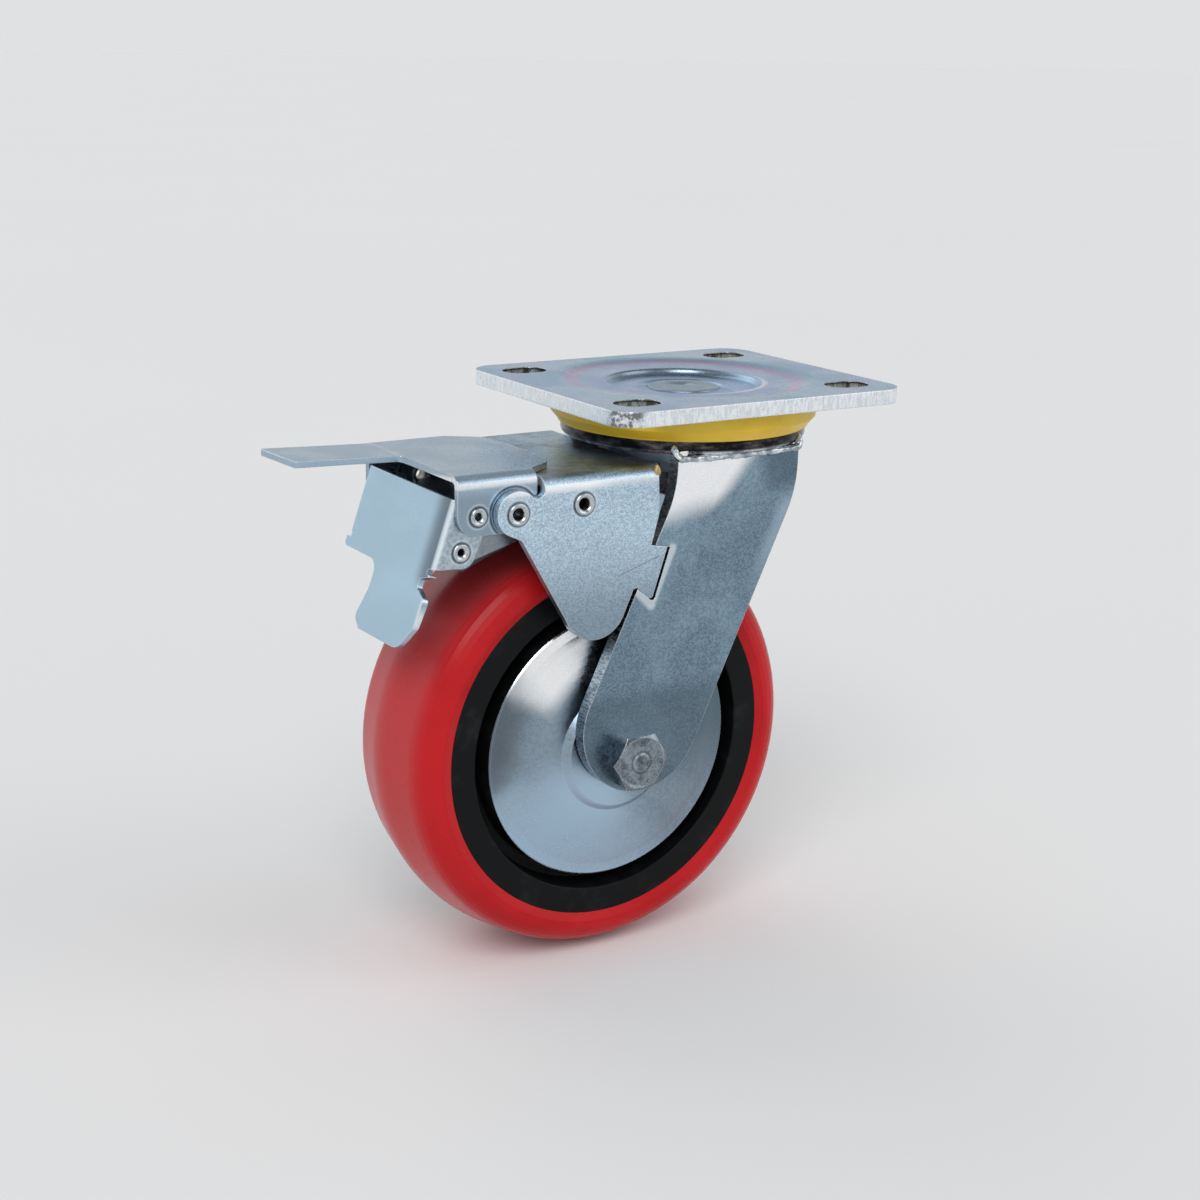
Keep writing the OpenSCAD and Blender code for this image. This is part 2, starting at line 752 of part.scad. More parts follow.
module axle_nut() {
    color("silver")
    translate([axle.x, leg_face, axle.y])
    rotate([-90, 0, 0])
    difference() {
        union() {
            intersection() {
                linear_extrude(nut_h * 0.72) hexagon(bolt_af + 1);
                nut_cone(bolt_af + 1, nut_h * 0.72);
            }
            cylinder(r = bolt_af * 0.46, h = nut_h - 1);
            translate([0, 0, nut_h - 1]) cylinder(r1 = bolt_af * 0.46, r2 = bolt_af * 0.42, h = 1);
        }
        translate([0, 0, -past]) cylinder(r = bolt_r + rivet_fit, h = nut_h + 2 * past);
    }
}

module axle_sleeve() {
    color("gray")
    about_axle()
        translate([bolt_r + rivet_fit, -fork_gap / 2])
            square([sleeve_r - bolt_r - rivet_fit, fork_gap]);
}

// Hub spacer: keeps the bearing clear of the leg
module hub_spacer_right() {
    color("silver")
    about_axle()
        translate([sleeve_r + rivet_fit, -fork_gap / 2])
            square([spacer_wall - rivet_fit, fork_gap / 2 - bearing_out]);
}

module hub_spacer_left() {
    mirror([0, 1, 0]) hub_spacer_right();
}

// Section of a bearing ring, from low to high, with its ball track
module bearing_ring(low, high) {
    about_axle()
        difference() {
            translate([low, -bearing_out]) square([high - low, bearing_w]);
            translate([bearing_mid_r, -bearing_in - bearing_w / 2])
                circle(r = bearing_ball_r + ball_gap);
        }
}

module bearing_inner_right() {
    color("silver") bearing_ring(sleeve_r + rivet_fit, sleeve_r + race_wall);
}

module bearing_inner_left() {
    mirror([0, 1, 0]) bearing_inner_right();
}

module bearing_outer_right() {
    color("silver") bearing_ring(bearing_r - race_wall, bearing_r);
}

module bearing_outer_left() {
    mirror([0, 1, 0]) bearing_outer_right();
}

module bearing_balls_right() {
    color("gainsboro")
    translate([axle.x, -bearing_in - bearing_w / 2, axle.y])
        for (i = [0:bearing_balls_n - 1])
            rotate([0, 360 * i / bearing_balls_n, 0])
                translate([bearing_mid_r, 0, 0]) sphere(r = bearing_ball_r, $fn = 24);
}

module bearing_balls_left() {
    mirror([0, 1, 0]) bearing_balls_right();
}

// Core: rim, thin web, hub with bearing seats, and a seat for each dust cap
module wheel_core() {
    half = core_w / 2;
    seat = half - cap_t;
    web = web_t / 2;
    groove = half - 10;
    side = [
        [bearing_r, bearing_in, 0], [bearing_r, bearing_out + 0.5, 0], [hub_r, bearing_out + 0.5, 1],
        [hub_r + 1, web, 2], [cap_r - 4.4, web, 2], [cap_r - 3.4, seat, 0], [cap_r - 0.4, seat, 0.4],
        [cap_r + 0.1, groove, 1], [rim_r - 0.4, groove, 1], [rim_r, half, 0.6], [core_r, half, 0]
    ];
    color("dimgray")
    about_axle()
        polygon(rounded(concat(
            [[bearing_r - 2, -bearing_in, 0], [bearing_r - 2, bearing_in, 0]],
            side,
            [for (i = [len(side) - 1:-1:0]) [side[i].x, -side[i].y, side[i][2]]])));
}

// Tyre: a band with a crowned tread and round shoulders, bonded to the core
module tyre() {
    half = wheel_w / 2;
    edge = core_w / 2;
    middle = wheel_r + tread_r * (1 / cos(tread_slope) - 1);
    side = middle - half * tan(tread_slope);
    color("firebrick")
    about_axle()
        difference() {
            polygon(rounded([
                [core_r, -edge, 0], [core_r + 3, -half, 2],
                [side, -half, shoulder_r], [middle, 0, tread_r], [side, half, shoulder_r],
                [core_r + 3, half, 2], [core_r, edge, 0]
            ]));
            translate([core_r - past, -wheel_w]) square([past, 2 * wheel_w]);
        }
}

// Section of a dust cap: a flat edge, a domed face and a raised boss round the axle
module cap_section() {
    foot = core_w / 2 - cap_t;
    boss_out = fork_gap / 2 - 1;
    dome = boss_out - 2.2;
    dome_steps = 10;
    // Height of the dome at a distance r from the axle
    function rise(r) =
        foot + (dome - foot) * pow(sin(90 * (cap_r - 1.5 - r) / (cap_r - 1.5 - boss_r - 1.5)), 0.8);
    dome_pts = [for (i = [0:dome_steps])
        let (r = cap_r - 1.5 - (cap_r - 1.5 - boss_r - 1.5) * i / dome_steps)
        [r, rise(r)]];
    skin = concat(dome_pts, [[boss_r, boss_out - 0.6], [boss_r - 0.8, boss_out], [cap_bore_r, boss_out]]);
    under = [for (i = [len(skin) - 1:-1:1])
        skin[i] - [i == len(skin) - 1 ? 0 : cap_t * 0.6, cap_t]];
    polygon(concat(
        [[cap_r, foot], [cap_r, foot + cap_t * 0.6], [cap_r - 0.5, foot + cap_t]],
        [for (p = skin) [p.x, max(p.y, foot + cap_t)]], under, [[cap_r - 4, foot]]));
}

module dust_cap_left() {
    color("silver") about_axle() cap_section();
}

module dust_cap_right() {
    mirror([0, 1, 0]) dust_cap_left();
}

// Side view of the pedal's flanges, round at the release pivot and at the pedal pivot
module pedal_outline() {
    front = release_pivot.x - hood_front;
    rear = -housing_front - 1;
    low = pedal_pivot.y - flange_depth;
    front_r = hood_front - 0.6;
    polygon(concat(
        [[front, pedal_top_z + past]],
        arc([front + front_r, low + front_r], front_r, 180, 270),
        arc(pedal_pivot, flange_depth, 270, 375),
        [[rear - 1, pedal_pivot.y + 3.4], [rear, pedal_pivot.y + 5], [rear, pedal_top_z + past]]));
}

// Side view of the pedal's top sheet: hood, climbing neck and toe plate
function pedal_path() =
    let (front = release_pivot.x - hood_front)
    rounded([
        [-hood_rear + past, pedal_top_z, 0], [front, pedal_top_z, 6],
        [front - neck_l, pedal_top_z + toe_rise, 8],
        [front - neck_l - toe_l - past, pedal_top_z + toe_rise + toe_climb, 0]
    ]);

// Plan of the pedal's top sheet on the left side, front to rear
function pedal_plan() =
    let (
        front = release_pivot.x - hood_front,
        tip = front - neck_l - toe_l,
        rear = -housing_front - 1
    )
    [
        [tip, toe_w / 2 + toe_flare, 1.2], [tip + toe_l * 0.55, toe_w / 2, 20],
        [front - neck_l, toe_w / 2, 2], [front, tab_half, 0.5], [rear, tab_half, 0.5],
        [-hood_rear - 2.5, tab_half * 0.78, 4], [-hood_rear, tab_half * 0.3, 10]
    ];

// Brake pedal: a folded hood between the housing's ears, with a tab over the housing and a toe
module brake_pedal() {
    plan = pedal_plan();
    path = pedal_path();
    color("lightsteelblue")
    difference() {
        union() {
            intersection() {
                translate([-housing_front - span / 2, 0, 0])
                    rotate([90, 0, 90])
                        linear_extrude(span)
                            channel(pedal_half, pedal_top_z, pedal_t, pedal_bend_r, 30);
                upright(-span / 2, span) pedal_outline();
            }
            intersection() {
                upright(-pedal_half, 2 * pedal_half)
                    polygon(concat(path, [for (i = [len(path) - 1:-1:0]) path[i] - [0, pedal_t]]));
                translate([0, 0, pedal_top_z - 2 * pedal_t])
                    linear_extrude(6 * pedal_t)
                        polygon(rounded(concat(
                            plan,
                            [for (i = [len(plan) - 1:-1:0])
                                [plan[i].x + (i == 0 ? toe_slant : 0), -plan[i].y, plan[i][2]]])));
            }
        }
        rod(pedal_pivot, big_rivet_r + rivet_fit, -span / 2, span / 2);
        rod(release_pivot, small_rivet_r + rivet_fit, -span / 2, span / 2);
    }
}

// Rivets that hang the pedal in the housing's ears
module pedal_rivets() {
    inner = pedal_half - pedal_t - 2 * rivet_fit;
    color("silver") both_sides() rivet(pedal_pivot, big_rivet_r, inner, leg_face);
}

// Side view of the release plate's flanges, upright, with its pivot at the origin
module release_outline() {
    pin = [-link_front, -link_arm];
    ear = 5.5;
    turn = atan2(pin.y, pin.x) + acos((ear - lever_link_r) / norm(pin));
    polygon(concat(
        [[-release_face - past, release_foot], [-release_face - past, release_top],
         [-release_face + release_bend_r + 1, release_top]],
        arc([0, 0], ear, 100, turn),
        arc(pin, lever_link_r, turn, -90)));
}

// Front view of the release plate, as [y, height above its pivot]
module release_front() {
    near = -release_half;
    low = -release_depth;
    tip = near + tongue_w;
    waist = tip - 4.2;
    polygon(rounded([
        [near, release_top, 0.8], [release_half, release_top, 0.8], [release_half, low, 1.5],
        [waist, low, 4.5], [waist + 0.4, low - tongue_l * 0.4, 8], [tip, low - tongue_l * 0.86, 2.5],
        [tip - 4.6, low - tongue_l, 3], [near + 8, low - tongue_l + 0.4, 7],
        [near + 1.2, low - tongue_l * 0.6, 4], [near, low - 4.4, 2], [near + 6.4, low - 1.8, 1.6],
        [near + 6, low + 1.2, 1.2], [near, low + 3, 0.5]
    ]));
}

// Release plate: a folded plate under the hood, with a tongue below it
module release_plate() {
    flat_top = -release_depth + 3.4;
    flat_half = release_half - release_bend_r;
    color("lightsteelblue")
    translate([release_pivot.x, 0, release_pivot.y])
    rotate([0, release_lean, 0])
    difference() {
        intersection() {
            union() {
                intersection() {
                    translate([0, 0, -span / 2])
                        linear_extrude(span)
                            rotate(90)
                                channel(release_half, release_face, release_t, release_bend_r, 30);
                    upright(-span / 2, span) release_outline();
                }
                translate([-release_face, -flat_half, flat_top - 1])
                    cube([release_t, 2 * flat_half, 1 - flat_top]);
                translate([-release_face, -release_half, -release_depth - tongue_l - past])
                    cube([release_t, 2 * release_half, tongue_l + 4.4]);
            }
            translate([-release_face - span / 4, 0, 0])
                rotate([90, 0, 90])
                    linear_extrude(span / 2)
                        release_front();
        }
        rod([0, 0], small_rivet_r + rivet_fit, -span / 2, span / 2);
        rod([-link_front, -link_arm], small_rivet_r + rivet_fit, -span / 2, span / 2);
    }
}

// Rivets that hang the release plate in the pedal
module release_rivets() {
    inner = release_half - release_t - 2 * rivet_fit;
    color("silver") both_sides() rivet(release_pivot, small_rivet_r, inner, pedal_half);
}

// Link pin: joins the release plate to the lever, across the whole linkage
module link_pin() {
    head = 0.6;
    color("silver") rivet(link_at, small_rivet_r, -release_half, release_half, head);
}

// Top sheet of the lever in the side view, between its two pivots
module lever_web() {
    n = turned([0, -1], atan2(link_at.y - lever_pivot.y, link_at.x - lever_pivot.x));
    polygon([
        lever_pivot + n * lever_pivot_r, link_at + n * lever_link_r,
        link_at + n * (lever_link_r - lever_t), lever_pivot + n * (lever_pivot_r - lever_t)
    ]);
}

// Brake lever: two cheeks and a top sheet, with a fingered tongue towards the lock ring
module brake_lever() {
    heel = [lever_pivot.x + 11.8, finger_z - finger_t / 2];
    tongue_from = lever_pivot.x + lever_pivot_r / 2 + 1;
    root_r = ring_r + 1.5;
    color("slategray")
    difference() {
        union() {
            both_sides()
                upright(lever_half - lever_t, lever_t) {
                    polygon(belt(lever_pivot, lever_pivot_r, link_at, lever_link_r));
                    polygon(belt(lever_pivot, lever_pivot_r - 0.1, heel, finger_t * 0.8));
                }
            upright(-lever_half, 2 * lever_half) lever_web();
            translate([tongue_from, -lever_half, finger_z - finger_t])
                cube([heel.x - tongue_from, 2 * lever_half, finger_t]);
            difference() {
                translate([tongue_from, -12, finger_z - finger_t])
                    cube([-tongue_from - ring_r * 0.9, 24, finger_t]);
                translate([0, 0, finger_z - finger_t - past])
                    cylinder(r = root_r, h = finger_t + 2 * past);
            }
            for (i = [0:finger_n - 1])
                rotate([0, 0, (i - (finger_n - 1) / 2) * 360 / notch_n])
                    translate([-root_r - 2, -finger_w / 2, finger_z - finger_t])
                        cube([root_r + 2 - finger_from, finger_w, finger_t]);
        }
        rod(lever_pivot, big_rivet_r + rivet_fit, -span / 2, span / 2);
        rod(link_at, small_rivet_r + link_play, -span / 2, span / 2);
    }
}

// Lever pin: a hollow pin across the housing, with a collar on the left side
module lever_pin() {
    color("silver") {
        rivet(lever_pivot, big_rivet_r, -leg_face, leg_face);
        difference() {
            rod(lever_pivot, big_rivet_r + 1.6, lever_half + side_gap, housing_in - side_gap);
            rod(lever_pivot, big_rivet_r - 0.2, 0, span / 2);
        }
    }
}

// Brake shoe: a curved pad that meets the tread when the lever is down, on two ribs
module brake_shoe() {
    pad_r = wheel_r + shoe_gap;
    rib_t = 4;
    rib_at = pad_w / 2 - rib_t - 3;
    color("dimgray")
    difference() {
        union() {
            upright(-pad_w / 2, pad_w) at_brake_on() arc_band(pad_r, pad_r + pad_t, shoe_arc);
            both_sides()
                upright(rib_at, rib_t)
                    difference() {
                        at_brake_on() arc_band(pad_r + pad_t / 2, pad_r + 40, shoe_arc * 0.6);
                        above_web();
                    }
        }
    }
}

// Places a side view as it stands with the brake on, turned back to the lever's rest
module at_brake_on() {
    translate(lever_pivot) rotate(-lever_travel) translate(axle - lever_pivot) children();
}

// A stretch of a ring about the wheel, centred on the shoe
module arc_band(low, high, angle) {
    from = shoe_angle - angle / 2;
    to = shoe_angle + angle / 2;
    polygon(concat(arc([0, 0], low, from, to), arc([0, 0], high, to, from)));
}

// Everything above the lower face of the lever's web
module above_web() {
    along = unit(link_at - lever_pivot);
    n = turned(along, -90);
    low_a = lever_pivot + n * (lever_pivot_r - lever_t);
    low_b = link_at + n * (lever_link_r - lever_t);
    slope = unit(low_b - low_a);
    up = turned(slope, -90);
    polygon([
        low_a - slope * 40, low_b + slope * 40, low_b + slope * 40 + up * 60, low_a - slope * 40 + up * 60
    ]);
}

// Return spring: a coil on the lever pin, with one leg under the housing's top and one hooked
// under the lever's cheek
module return_spring() {
    coil_r = big_rivet_r + spring_wire_r + 0.25;
    first_y = -housing_in + side_gap + spring_wire_r;
    last_y = -lever_half - side_gap - spring_wire_r;
    from = 80;
    turns = floor(spring_turns) + 142 / 360;
    steps = 20 * turns;
    down = unit(link_at - lever_pivot);
    hook = lever_pivot + down * 14 + turned(down, 90) * (lever_pivot_r + spring_wire_r);
    coil = [for (i = [0:steps])
        let (a = from - 360 * turns * i / steps)
        [
            lever_pivot.x + coil_r * cos(a), first_y + (last_y - first_y) * i / steps,
            lever_pivot.y + coil_r * sin(a)
        ]];
    color("silver")
    wire(
        concat(
            [[lever_pivot.x - 12, first_y, housing_top_z - housing_t - spring_wire_r - 0.1]], coil,
            [[hook.x, last_y, hook.y], [hook.x - 0.3, last_y + 0.5, hook.y - 0.1],
             [hook.x - 0.4, last_y + 3, hook.y - 0.1]]),
        spring_wire_r);
}

// A wire swept along points, as one closed skin
module wire(path, r) {
    sides = 8;
    n = len(path);
    rings = [for (i = [0:n - 1])
        let (
            t = unit(path[min(i + 1, n - 1)] - path[max(i - 1, 0)]),
            u = unit(cross(t, [0.3, 1, 0.05])),
            v = cross(t, u)
        )
        for (k = [0:sides - 1]) path[i] + r * (u * cos(360 * k / sides) + v * sin(360 * k / sides))];
    polyhedron(
        rings,
        concat(
            [[for (k = [0:sides - 1]) k]],
            [for (i = [0:n - 2], k = [0:sides - 1])
                [i * sides + k, (i + 1) * sides + k,
                 (i + 1) * sides + (k + 1) % sides, i * sides + (k + 1) % sides]],
            [[for (k = [sides - 1:-1:0]) (n - 1) * sides + k]]));
}

top_plate();
king_pin();
king_nut();
upper_balls();
lower_balls();
lower_race();
lock_ring();
dust_seal();
fork_crown();
fork_leg_right();
fork_leg_left();
brake_housing();
axle_bolt();
axle_nut();
axle_sleeve();
hub_spacer_right();
hub_spacer_left();
bearing_inner_right();
bearing_inner_left();
bearing_outer_right();
bearing_outer_left();
bearing_balls_right();
bearing_balls_left();
wheel_core();
tyre();
dust_cap_right();
dust_cap_left();
brake_pedal();
pedal_rivets();
release_plate();
release_rivets();
link_pin();
brake_lever();
lever_pin();
brake_shoe();
return_spring();
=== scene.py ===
import math

import bmesh
import bpy
from mathutils import Matrix, Vector


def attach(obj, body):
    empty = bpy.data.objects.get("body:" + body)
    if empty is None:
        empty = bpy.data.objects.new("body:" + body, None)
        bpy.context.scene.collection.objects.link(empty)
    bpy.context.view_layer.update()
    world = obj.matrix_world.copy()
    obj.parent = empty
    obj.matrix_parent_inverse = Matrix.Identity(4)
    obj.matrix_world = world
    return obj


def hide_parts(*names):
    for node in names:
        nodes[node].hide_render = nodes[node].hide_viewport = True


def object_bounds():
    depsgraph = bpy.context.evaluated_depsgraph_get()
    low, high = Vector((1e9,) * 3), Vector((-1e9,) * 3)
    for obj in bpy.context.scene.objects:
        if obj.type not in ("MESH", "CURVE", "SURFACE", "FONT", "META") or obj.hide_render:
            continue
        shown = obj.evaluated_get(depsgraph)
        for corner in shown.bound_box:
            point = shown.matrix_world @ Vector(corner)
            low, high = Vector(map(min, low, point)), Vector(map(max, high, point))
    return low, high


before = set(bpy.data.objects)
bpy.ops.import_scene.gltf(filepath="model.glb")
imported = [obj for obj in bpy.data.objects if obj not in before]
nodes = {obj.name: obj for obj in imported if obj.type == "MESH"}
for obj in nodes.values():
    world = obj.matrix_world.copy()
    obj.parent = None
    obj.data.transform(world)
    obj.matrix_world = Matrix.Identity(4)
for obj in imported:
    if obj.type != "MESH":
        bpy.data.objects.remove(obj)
cad_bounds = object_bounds()
scene = bpy.context.scene

MM = 0.001

# Places in mm: (x, z) of the lines along Y and of a leg's knee, (x, y) of the slots' middles and reach
AXLE = (-41.4, -118.5)
PEDAL_PIVOT = (-84.6, -31.7)
RELEASE_PIVOT = (-96.9, -31.9)
LEVER_PIVOT = (-60.8, -30.8)
LINK_PIN = (-101.664, -43.167)
LEG_KNEE = (-1.2, -31.9)
SLOT_MIDDLE = (42.0, 36.0)
SLOT_REACH = (9.5, 7.5)
# How far a leg's middle line runs back for each mm that it goes down below the knee
LEG_SLANT = 0.4642


def on_line(place):
    """The point in metres where the line along Y through a place meets the middle plane."""
    return place[0] * MM, 0, place[1] * MM


# Shader helpers

class Shader:
    """A node material under construction, with short names for the nodes it uses."""

    def __init__(self, name):
        self.mat = bpy.data.materials.new(name)
        self.mat.use_nodes = True
        self.tree = self.mat.node_tree
        self.tree.nodes.clear()
        self.bsdf = self.new("ShaderNodeBsdfPrincipled")
        self.link(self.bsdf.outputs[0], self.new("ShaderNodeOutputMaterial").inputs[0])
        self.coord = self.new("ShaderNodeTexCoord").outputs["Object"]

    def new(self, kind):
        return self.tree.nodes.new(kind)

    def link(self, a, b):
        self.tree.links.new(a, b)

    def put(self, socket, value):
        if isinstance(value, bpy.types.NodeSocket):
            self.link(value, socket)
        else:
            socket.default_value = value

    def scaled(self, scale):
        """Object coordinates, each multiplied by its own part of the scale."""
        node = self.new("ShaderNodeVectorMath")
        node.operation = "MULTIPLY"
        self.link(self.coord, node.inputs[0])
        node.inputs[1].default_value = scale
        return node.outputs[0]

    def noise(self, scale, detail=4.0, rough=0.55, stretch=None, distort=0.0):
        node = self.new("ShaderNodeTexNoise")
        self.link(self.scaled(stretch) if stretch else self.coord, node.inputs["Vector"])
        node.inputs["Scale"].default_value = scale
        node.inputs["Detail"].default_value = detail
        node.inputs["Roughness"].default_value = rough
        node.inputs["Distortion"].default_value = distort
        return node.outputs["Fac"]

    def cells(self, scale):
        """One random value for each crystal."""
        node = self.new("ShaderNodeTexVoronoi")
        self.link(self.coord, node.inputs["Vector"])
        node.inputs["Scale"].default_value = scale
        split = self.new("ShaderNodeSeparateColor")
        self.link(node.outputs["Color"], split.inputs[0])
        return split.outputs[0]

    def span(self, value, low, high, to_low=0.0, to_high=1.0):
        """A smooth step from to_low, where the value is low, to to_high, where it is high."""
        node = self.new("ShaderNodeMapRange")
        node.interpolation_type = "SMOOTHSTEP"
        self.put(node.inputs["Value"], value)
        node.inputs["From Min"].default_value = low
        node.inputs["From Max"].default_value = high
        node.inputs["To Min"].default_value = to_low
        node.inputs["To Max"].default_value = to_high
        return node.outputs[0]

    def band(self, value, start, full, full_end, end):
        """1 from full to full_end, fading to 0 at start and at end."""
        return self.times(self.span(value, start, full), self.span(value, end, full_end))

    def wobble(self, scale, reach):
        """A soft random value round zero, within half of reach to either side."""
        return self.times(self.minus(self.noise(scale, 3.0), 0.5), reach)

    def math(self, op, a, b=0.0, c=0.0, clamp=False):
        node = self.new("ShaderNodeMath")
        node.operation = op
        node.use_clamp = clamp
        for socket, value in zip(node.inputs, (a, b, c)):
            self.put(socket, value)
        return node.outputs[0]

    def times(self, a, b):
        return self.math("MULTIPLY", a, b)

    def plus(self, a, b):
        return self.math("ADD", a, b)

    def minus(self, a, b):
        return self.math("SUBTRACT", a, b)

    def mix(self, factor, a, b):
        """Colour a where the factor is 0 and b where it is 1."""
        node = self.new("ShaderNodeMix")
        node.data_type = "RGBA"
        node.blend_type = "MIX"
        self.put(node.inputs[0], factor)
        for socket, value in ((node.inputs[6], a), (node.inputs[7], b)):
            if isinstance(value, tuple) and len(value) == 3:
                value = (*value, 1.0)
            self.put(socket, value)
        return node.outputs[2]

    def paint(self, color, where, amount, tint):
        """A colour with so much of a tint mixed in where the mask is 1."""
        return self.mix(self.times(where, amount), color, tint)

    def axis(self, index):
        node = self.new("ShaderNodeSeparateXYZ")
        self.link(self.coord, node.inputs[0])
        return node.outputs[index]

    def distance(self, centre, axes):
        """Distance from a point, measured along the named axes only."""
        node = self.new("ShaderNodeVectorMath")
        node.operation = "SUBTRACT"
        self.link(self.coord, node.inputs[0])
        node.inputs[1].default_value = centre
        flat = self.new("ShaderNodeVectorMath")
        flat.operation = "MULTIPLY"
        self.link(node.outputs[0], flat.inputs[0])
        flat.inputs[1].default_value = tuple(1.0 if a in axes else 0.0 for a in "xyz")
        size = self.new("ShaderNodeVectorMath")
        size.operation = "LENGTH"
        self.link(flat.outputs[0], size.inputs[0])
        return size.outputs["Value"]

    def near(self, a, b, core, reach):
        """1 within core of the line from a to b, fading to 0 at reach, all as (x, z) in metres."""
        run = Vector(b) - Vector(a)
        px = self.minus(self.axis(0), a[0])
        pz = self.minus(self.axis(2), a[1])
        dot = self.plus(self.times(px, run.x), self.times(pz, run.y))
        t = self.math("DIVIDE", dot, run.length_squared, clamp=True)
        dx = self.minus(px, self.times(t, run.x))
        dz = self.minus(pz, self.times(t, run.y))
        away = self.math("SQRT", self.plus(self.times(dx, dx), self.times(dz, dz)))
        return self.span(away, reach, core)

    def bevel(self, radius):
        node = self.new("ShaderNodeBevel")
        node.samples = 4
        node.inputs["Radius"].default_value = radius
        return node.outputs[0]

    def edges(self, bevelled):
        """How far a rounded normal turns from the true one: 0 on a flat, 1 on a sharp edge."""
        geometry = self.new("ShaderNodeNewGeometry")
        dot = self.new("ShaderNodeVectorMath")
        dot.operation = "DOT_PRODUCT"
        self.link(bevelled, dot.inputs[0])
        self.link(geometry.outputs["Normal"], dot.inputs[1])
        return self.span(dot.outputs["Value"], 0.995, 0.8)

    def sides(self, index):
        """1 where the surface's normal is square to an axis, 0 where it runs along it."""
        geometry = self.new("ShaderNodeNewGeometry")
        split = self.new("ShaderNodeSeparateXYZ")
        self.link(geometry.outputs["True Normal"], split.inputs[0])
        flat = self.math("ABSOLUTE", split.outputs[index])
        return self.span(flat, 0.5, 0.2)

    def flats(self, index):
        """1 where the surface's normal runs along an axis, 0 where it is square to it."""
        return self.minus(1.0, self.sides(index))

    def lobe(self, turn, at, width):
        """1 where an angle is at, fading to 0 at width to either side, both in degrees."""
        away = self.minus(turn, math.radians(at))
        return self.span(self.math("COSINE", away), math.cos(math.radians(width)), 1.0)

    def bump(self, height, strength, distance, normal=None):
        node = self.new("ShaderNodeBump")
        node.inputs["Strength"].default_value = strength
        node.inputs["Distance"].default_value = distance
        self.link(height, node.inputs["Height"])
        if normal is not None:
            self.link(normal, node.inputs["Normal"])
        return node.outputs[0]

    def finish(self, color, rough, normal=None, **fixed):
        self.put(self.bsdf.inputs["Base Color"], (*color, 1.0) if isinstance(color, tuple) else color)
        self.put(self.bsdf.inputs["Roughness"], rough)
        if normal is not None:
            self.link(normal, self.bsdf.inputs["Normal"])
        for name, value in fixed.items():
            self.bsdf.inputs[name].default_value = value
        return self.mat


def zinc(name, light, dark, rough, grain=1400, grain_depth=0.25, patch=70, patch_depth=0.35,
         radius=0.35, bump=0.12, edge_highlight=0.55, look=None,
         sheared=None, torn=None, pitted=0.3, torn_look=None):
    """Zinc plating: crystals, cloudy patches and painted highlights on the edges.

    light and dark are its two tones, and rough is the roughness in the dark and in the light patches.
    grain and patch are the scales of the crystals and the patches, each with how deep its tones go.
    radius is how far in mm the painted highlights on the edges reach, and worn is how bright they are.
    sheared is the axis through the sheet's thickness, if the sheet's torn edges show: they have the two
    tones of torn and pits. look and torn_look add what only one piece shows on its plating and on its
    torn edges.
    """
    s = Shader(name)
    rounded = s.bevel(radius * MM)
    edge_highlight_mask = s.edges(rounded)
    cloud = s.noise(patch, 5.0, 0.6, distort=0.4)
    fine = s.noise(grain, 3.0, 0.7)
    crystal = s.cells(grain * 0.75)
    cloud = s.span(cloud, 0.36, 0.66, 0.0, 1.0)
    speck = s.plus(s.times(fine, 0.55), s.times(crystal, 0.45))
    speck = s.span(speck, 0.3, 0.7)
    tone = s.plus(s.times(cloud, patch_depth), s.times(speck, grain_depth))
    tone = s.math("ADD", tone, 0.5 - (patch_depth + grain_depth) / 2, clamp=True)
    color = s.mix(tone, dark, light)
    roughness = s.plus(s.span(cloud, 0.0, 1.0, rough[0], rough[1]), s.times(s.minus(speck, 0.5), 0.08))
    height = s.plus(s.times(fine, 0.7), s.times(crystal, 0.3))
    normal = s.bump(height, bump, 0.05 * MM, rounded)
    if look:
        color, roughness = look(s, color, roughness)
    if sheared is not None:
        side = s.sides(sheared)
        stretch = tuple(0.22 if axis == sheared else 1.0 for axis in range(3))
        tears = s.noise(1500, 4.0, 0.7, stretch=stretch)
        pits = s.noise(700, 4.0, 0.65)
        torn_color = s.mix(s.span(tears, 0.36, 0.6), torn[0], torn[1])
        torn_color = s.paint(torn_color, s.span(pits, 0.64, 0.74), pitted, (0.12, 0.14, 0.16))
        torn_color = torn_look(s, torn_color)
        color = s.mix(side, color, torn_color)
        roughness = s.mix(side, roughness, s.span(tears, 0.4, 0.7, 0.22, 0.42))
        torn_normal = s.bump(tears, 0.4, 0.15 * MM, rounded)
        pick = s.new("ShaderNodeMix")
        pick.data_type = "VECTOR"
        s.put(pick.inputs[0], side)
        s.link(normal, pick.inputs[4])
        s.link(torn_normal, pick.inputs[5])
        normal = pick.outputs[1]
    # Painted highlights on the edges, brightest where the rounded normal turns furthest from the true one
    color = s.paint(color, edge_highlight_mask, edge_highlight, (0.88, 0.92, 0.95))
    return s.finish(color, roughness, normal, Metallic=1.0)


# What single pieces show. Positions and distances in these looks are in metres, in the shared frame

def in_slots(s):
    """1 in the walls of the four bolt slots."""
    inside = []
    for axis, (middle, reach) in enumerate(zip(SLOT_MIDDLE, SLOT_REACH)):
        away = s.math("ABSOLUTE", s.minus(s.math("ABSOLUTE", s.axis(axis)), middle * MM))
        inside.append(s.math("LESS_THAN", away, reach * MM))
    return s.times(*inside)


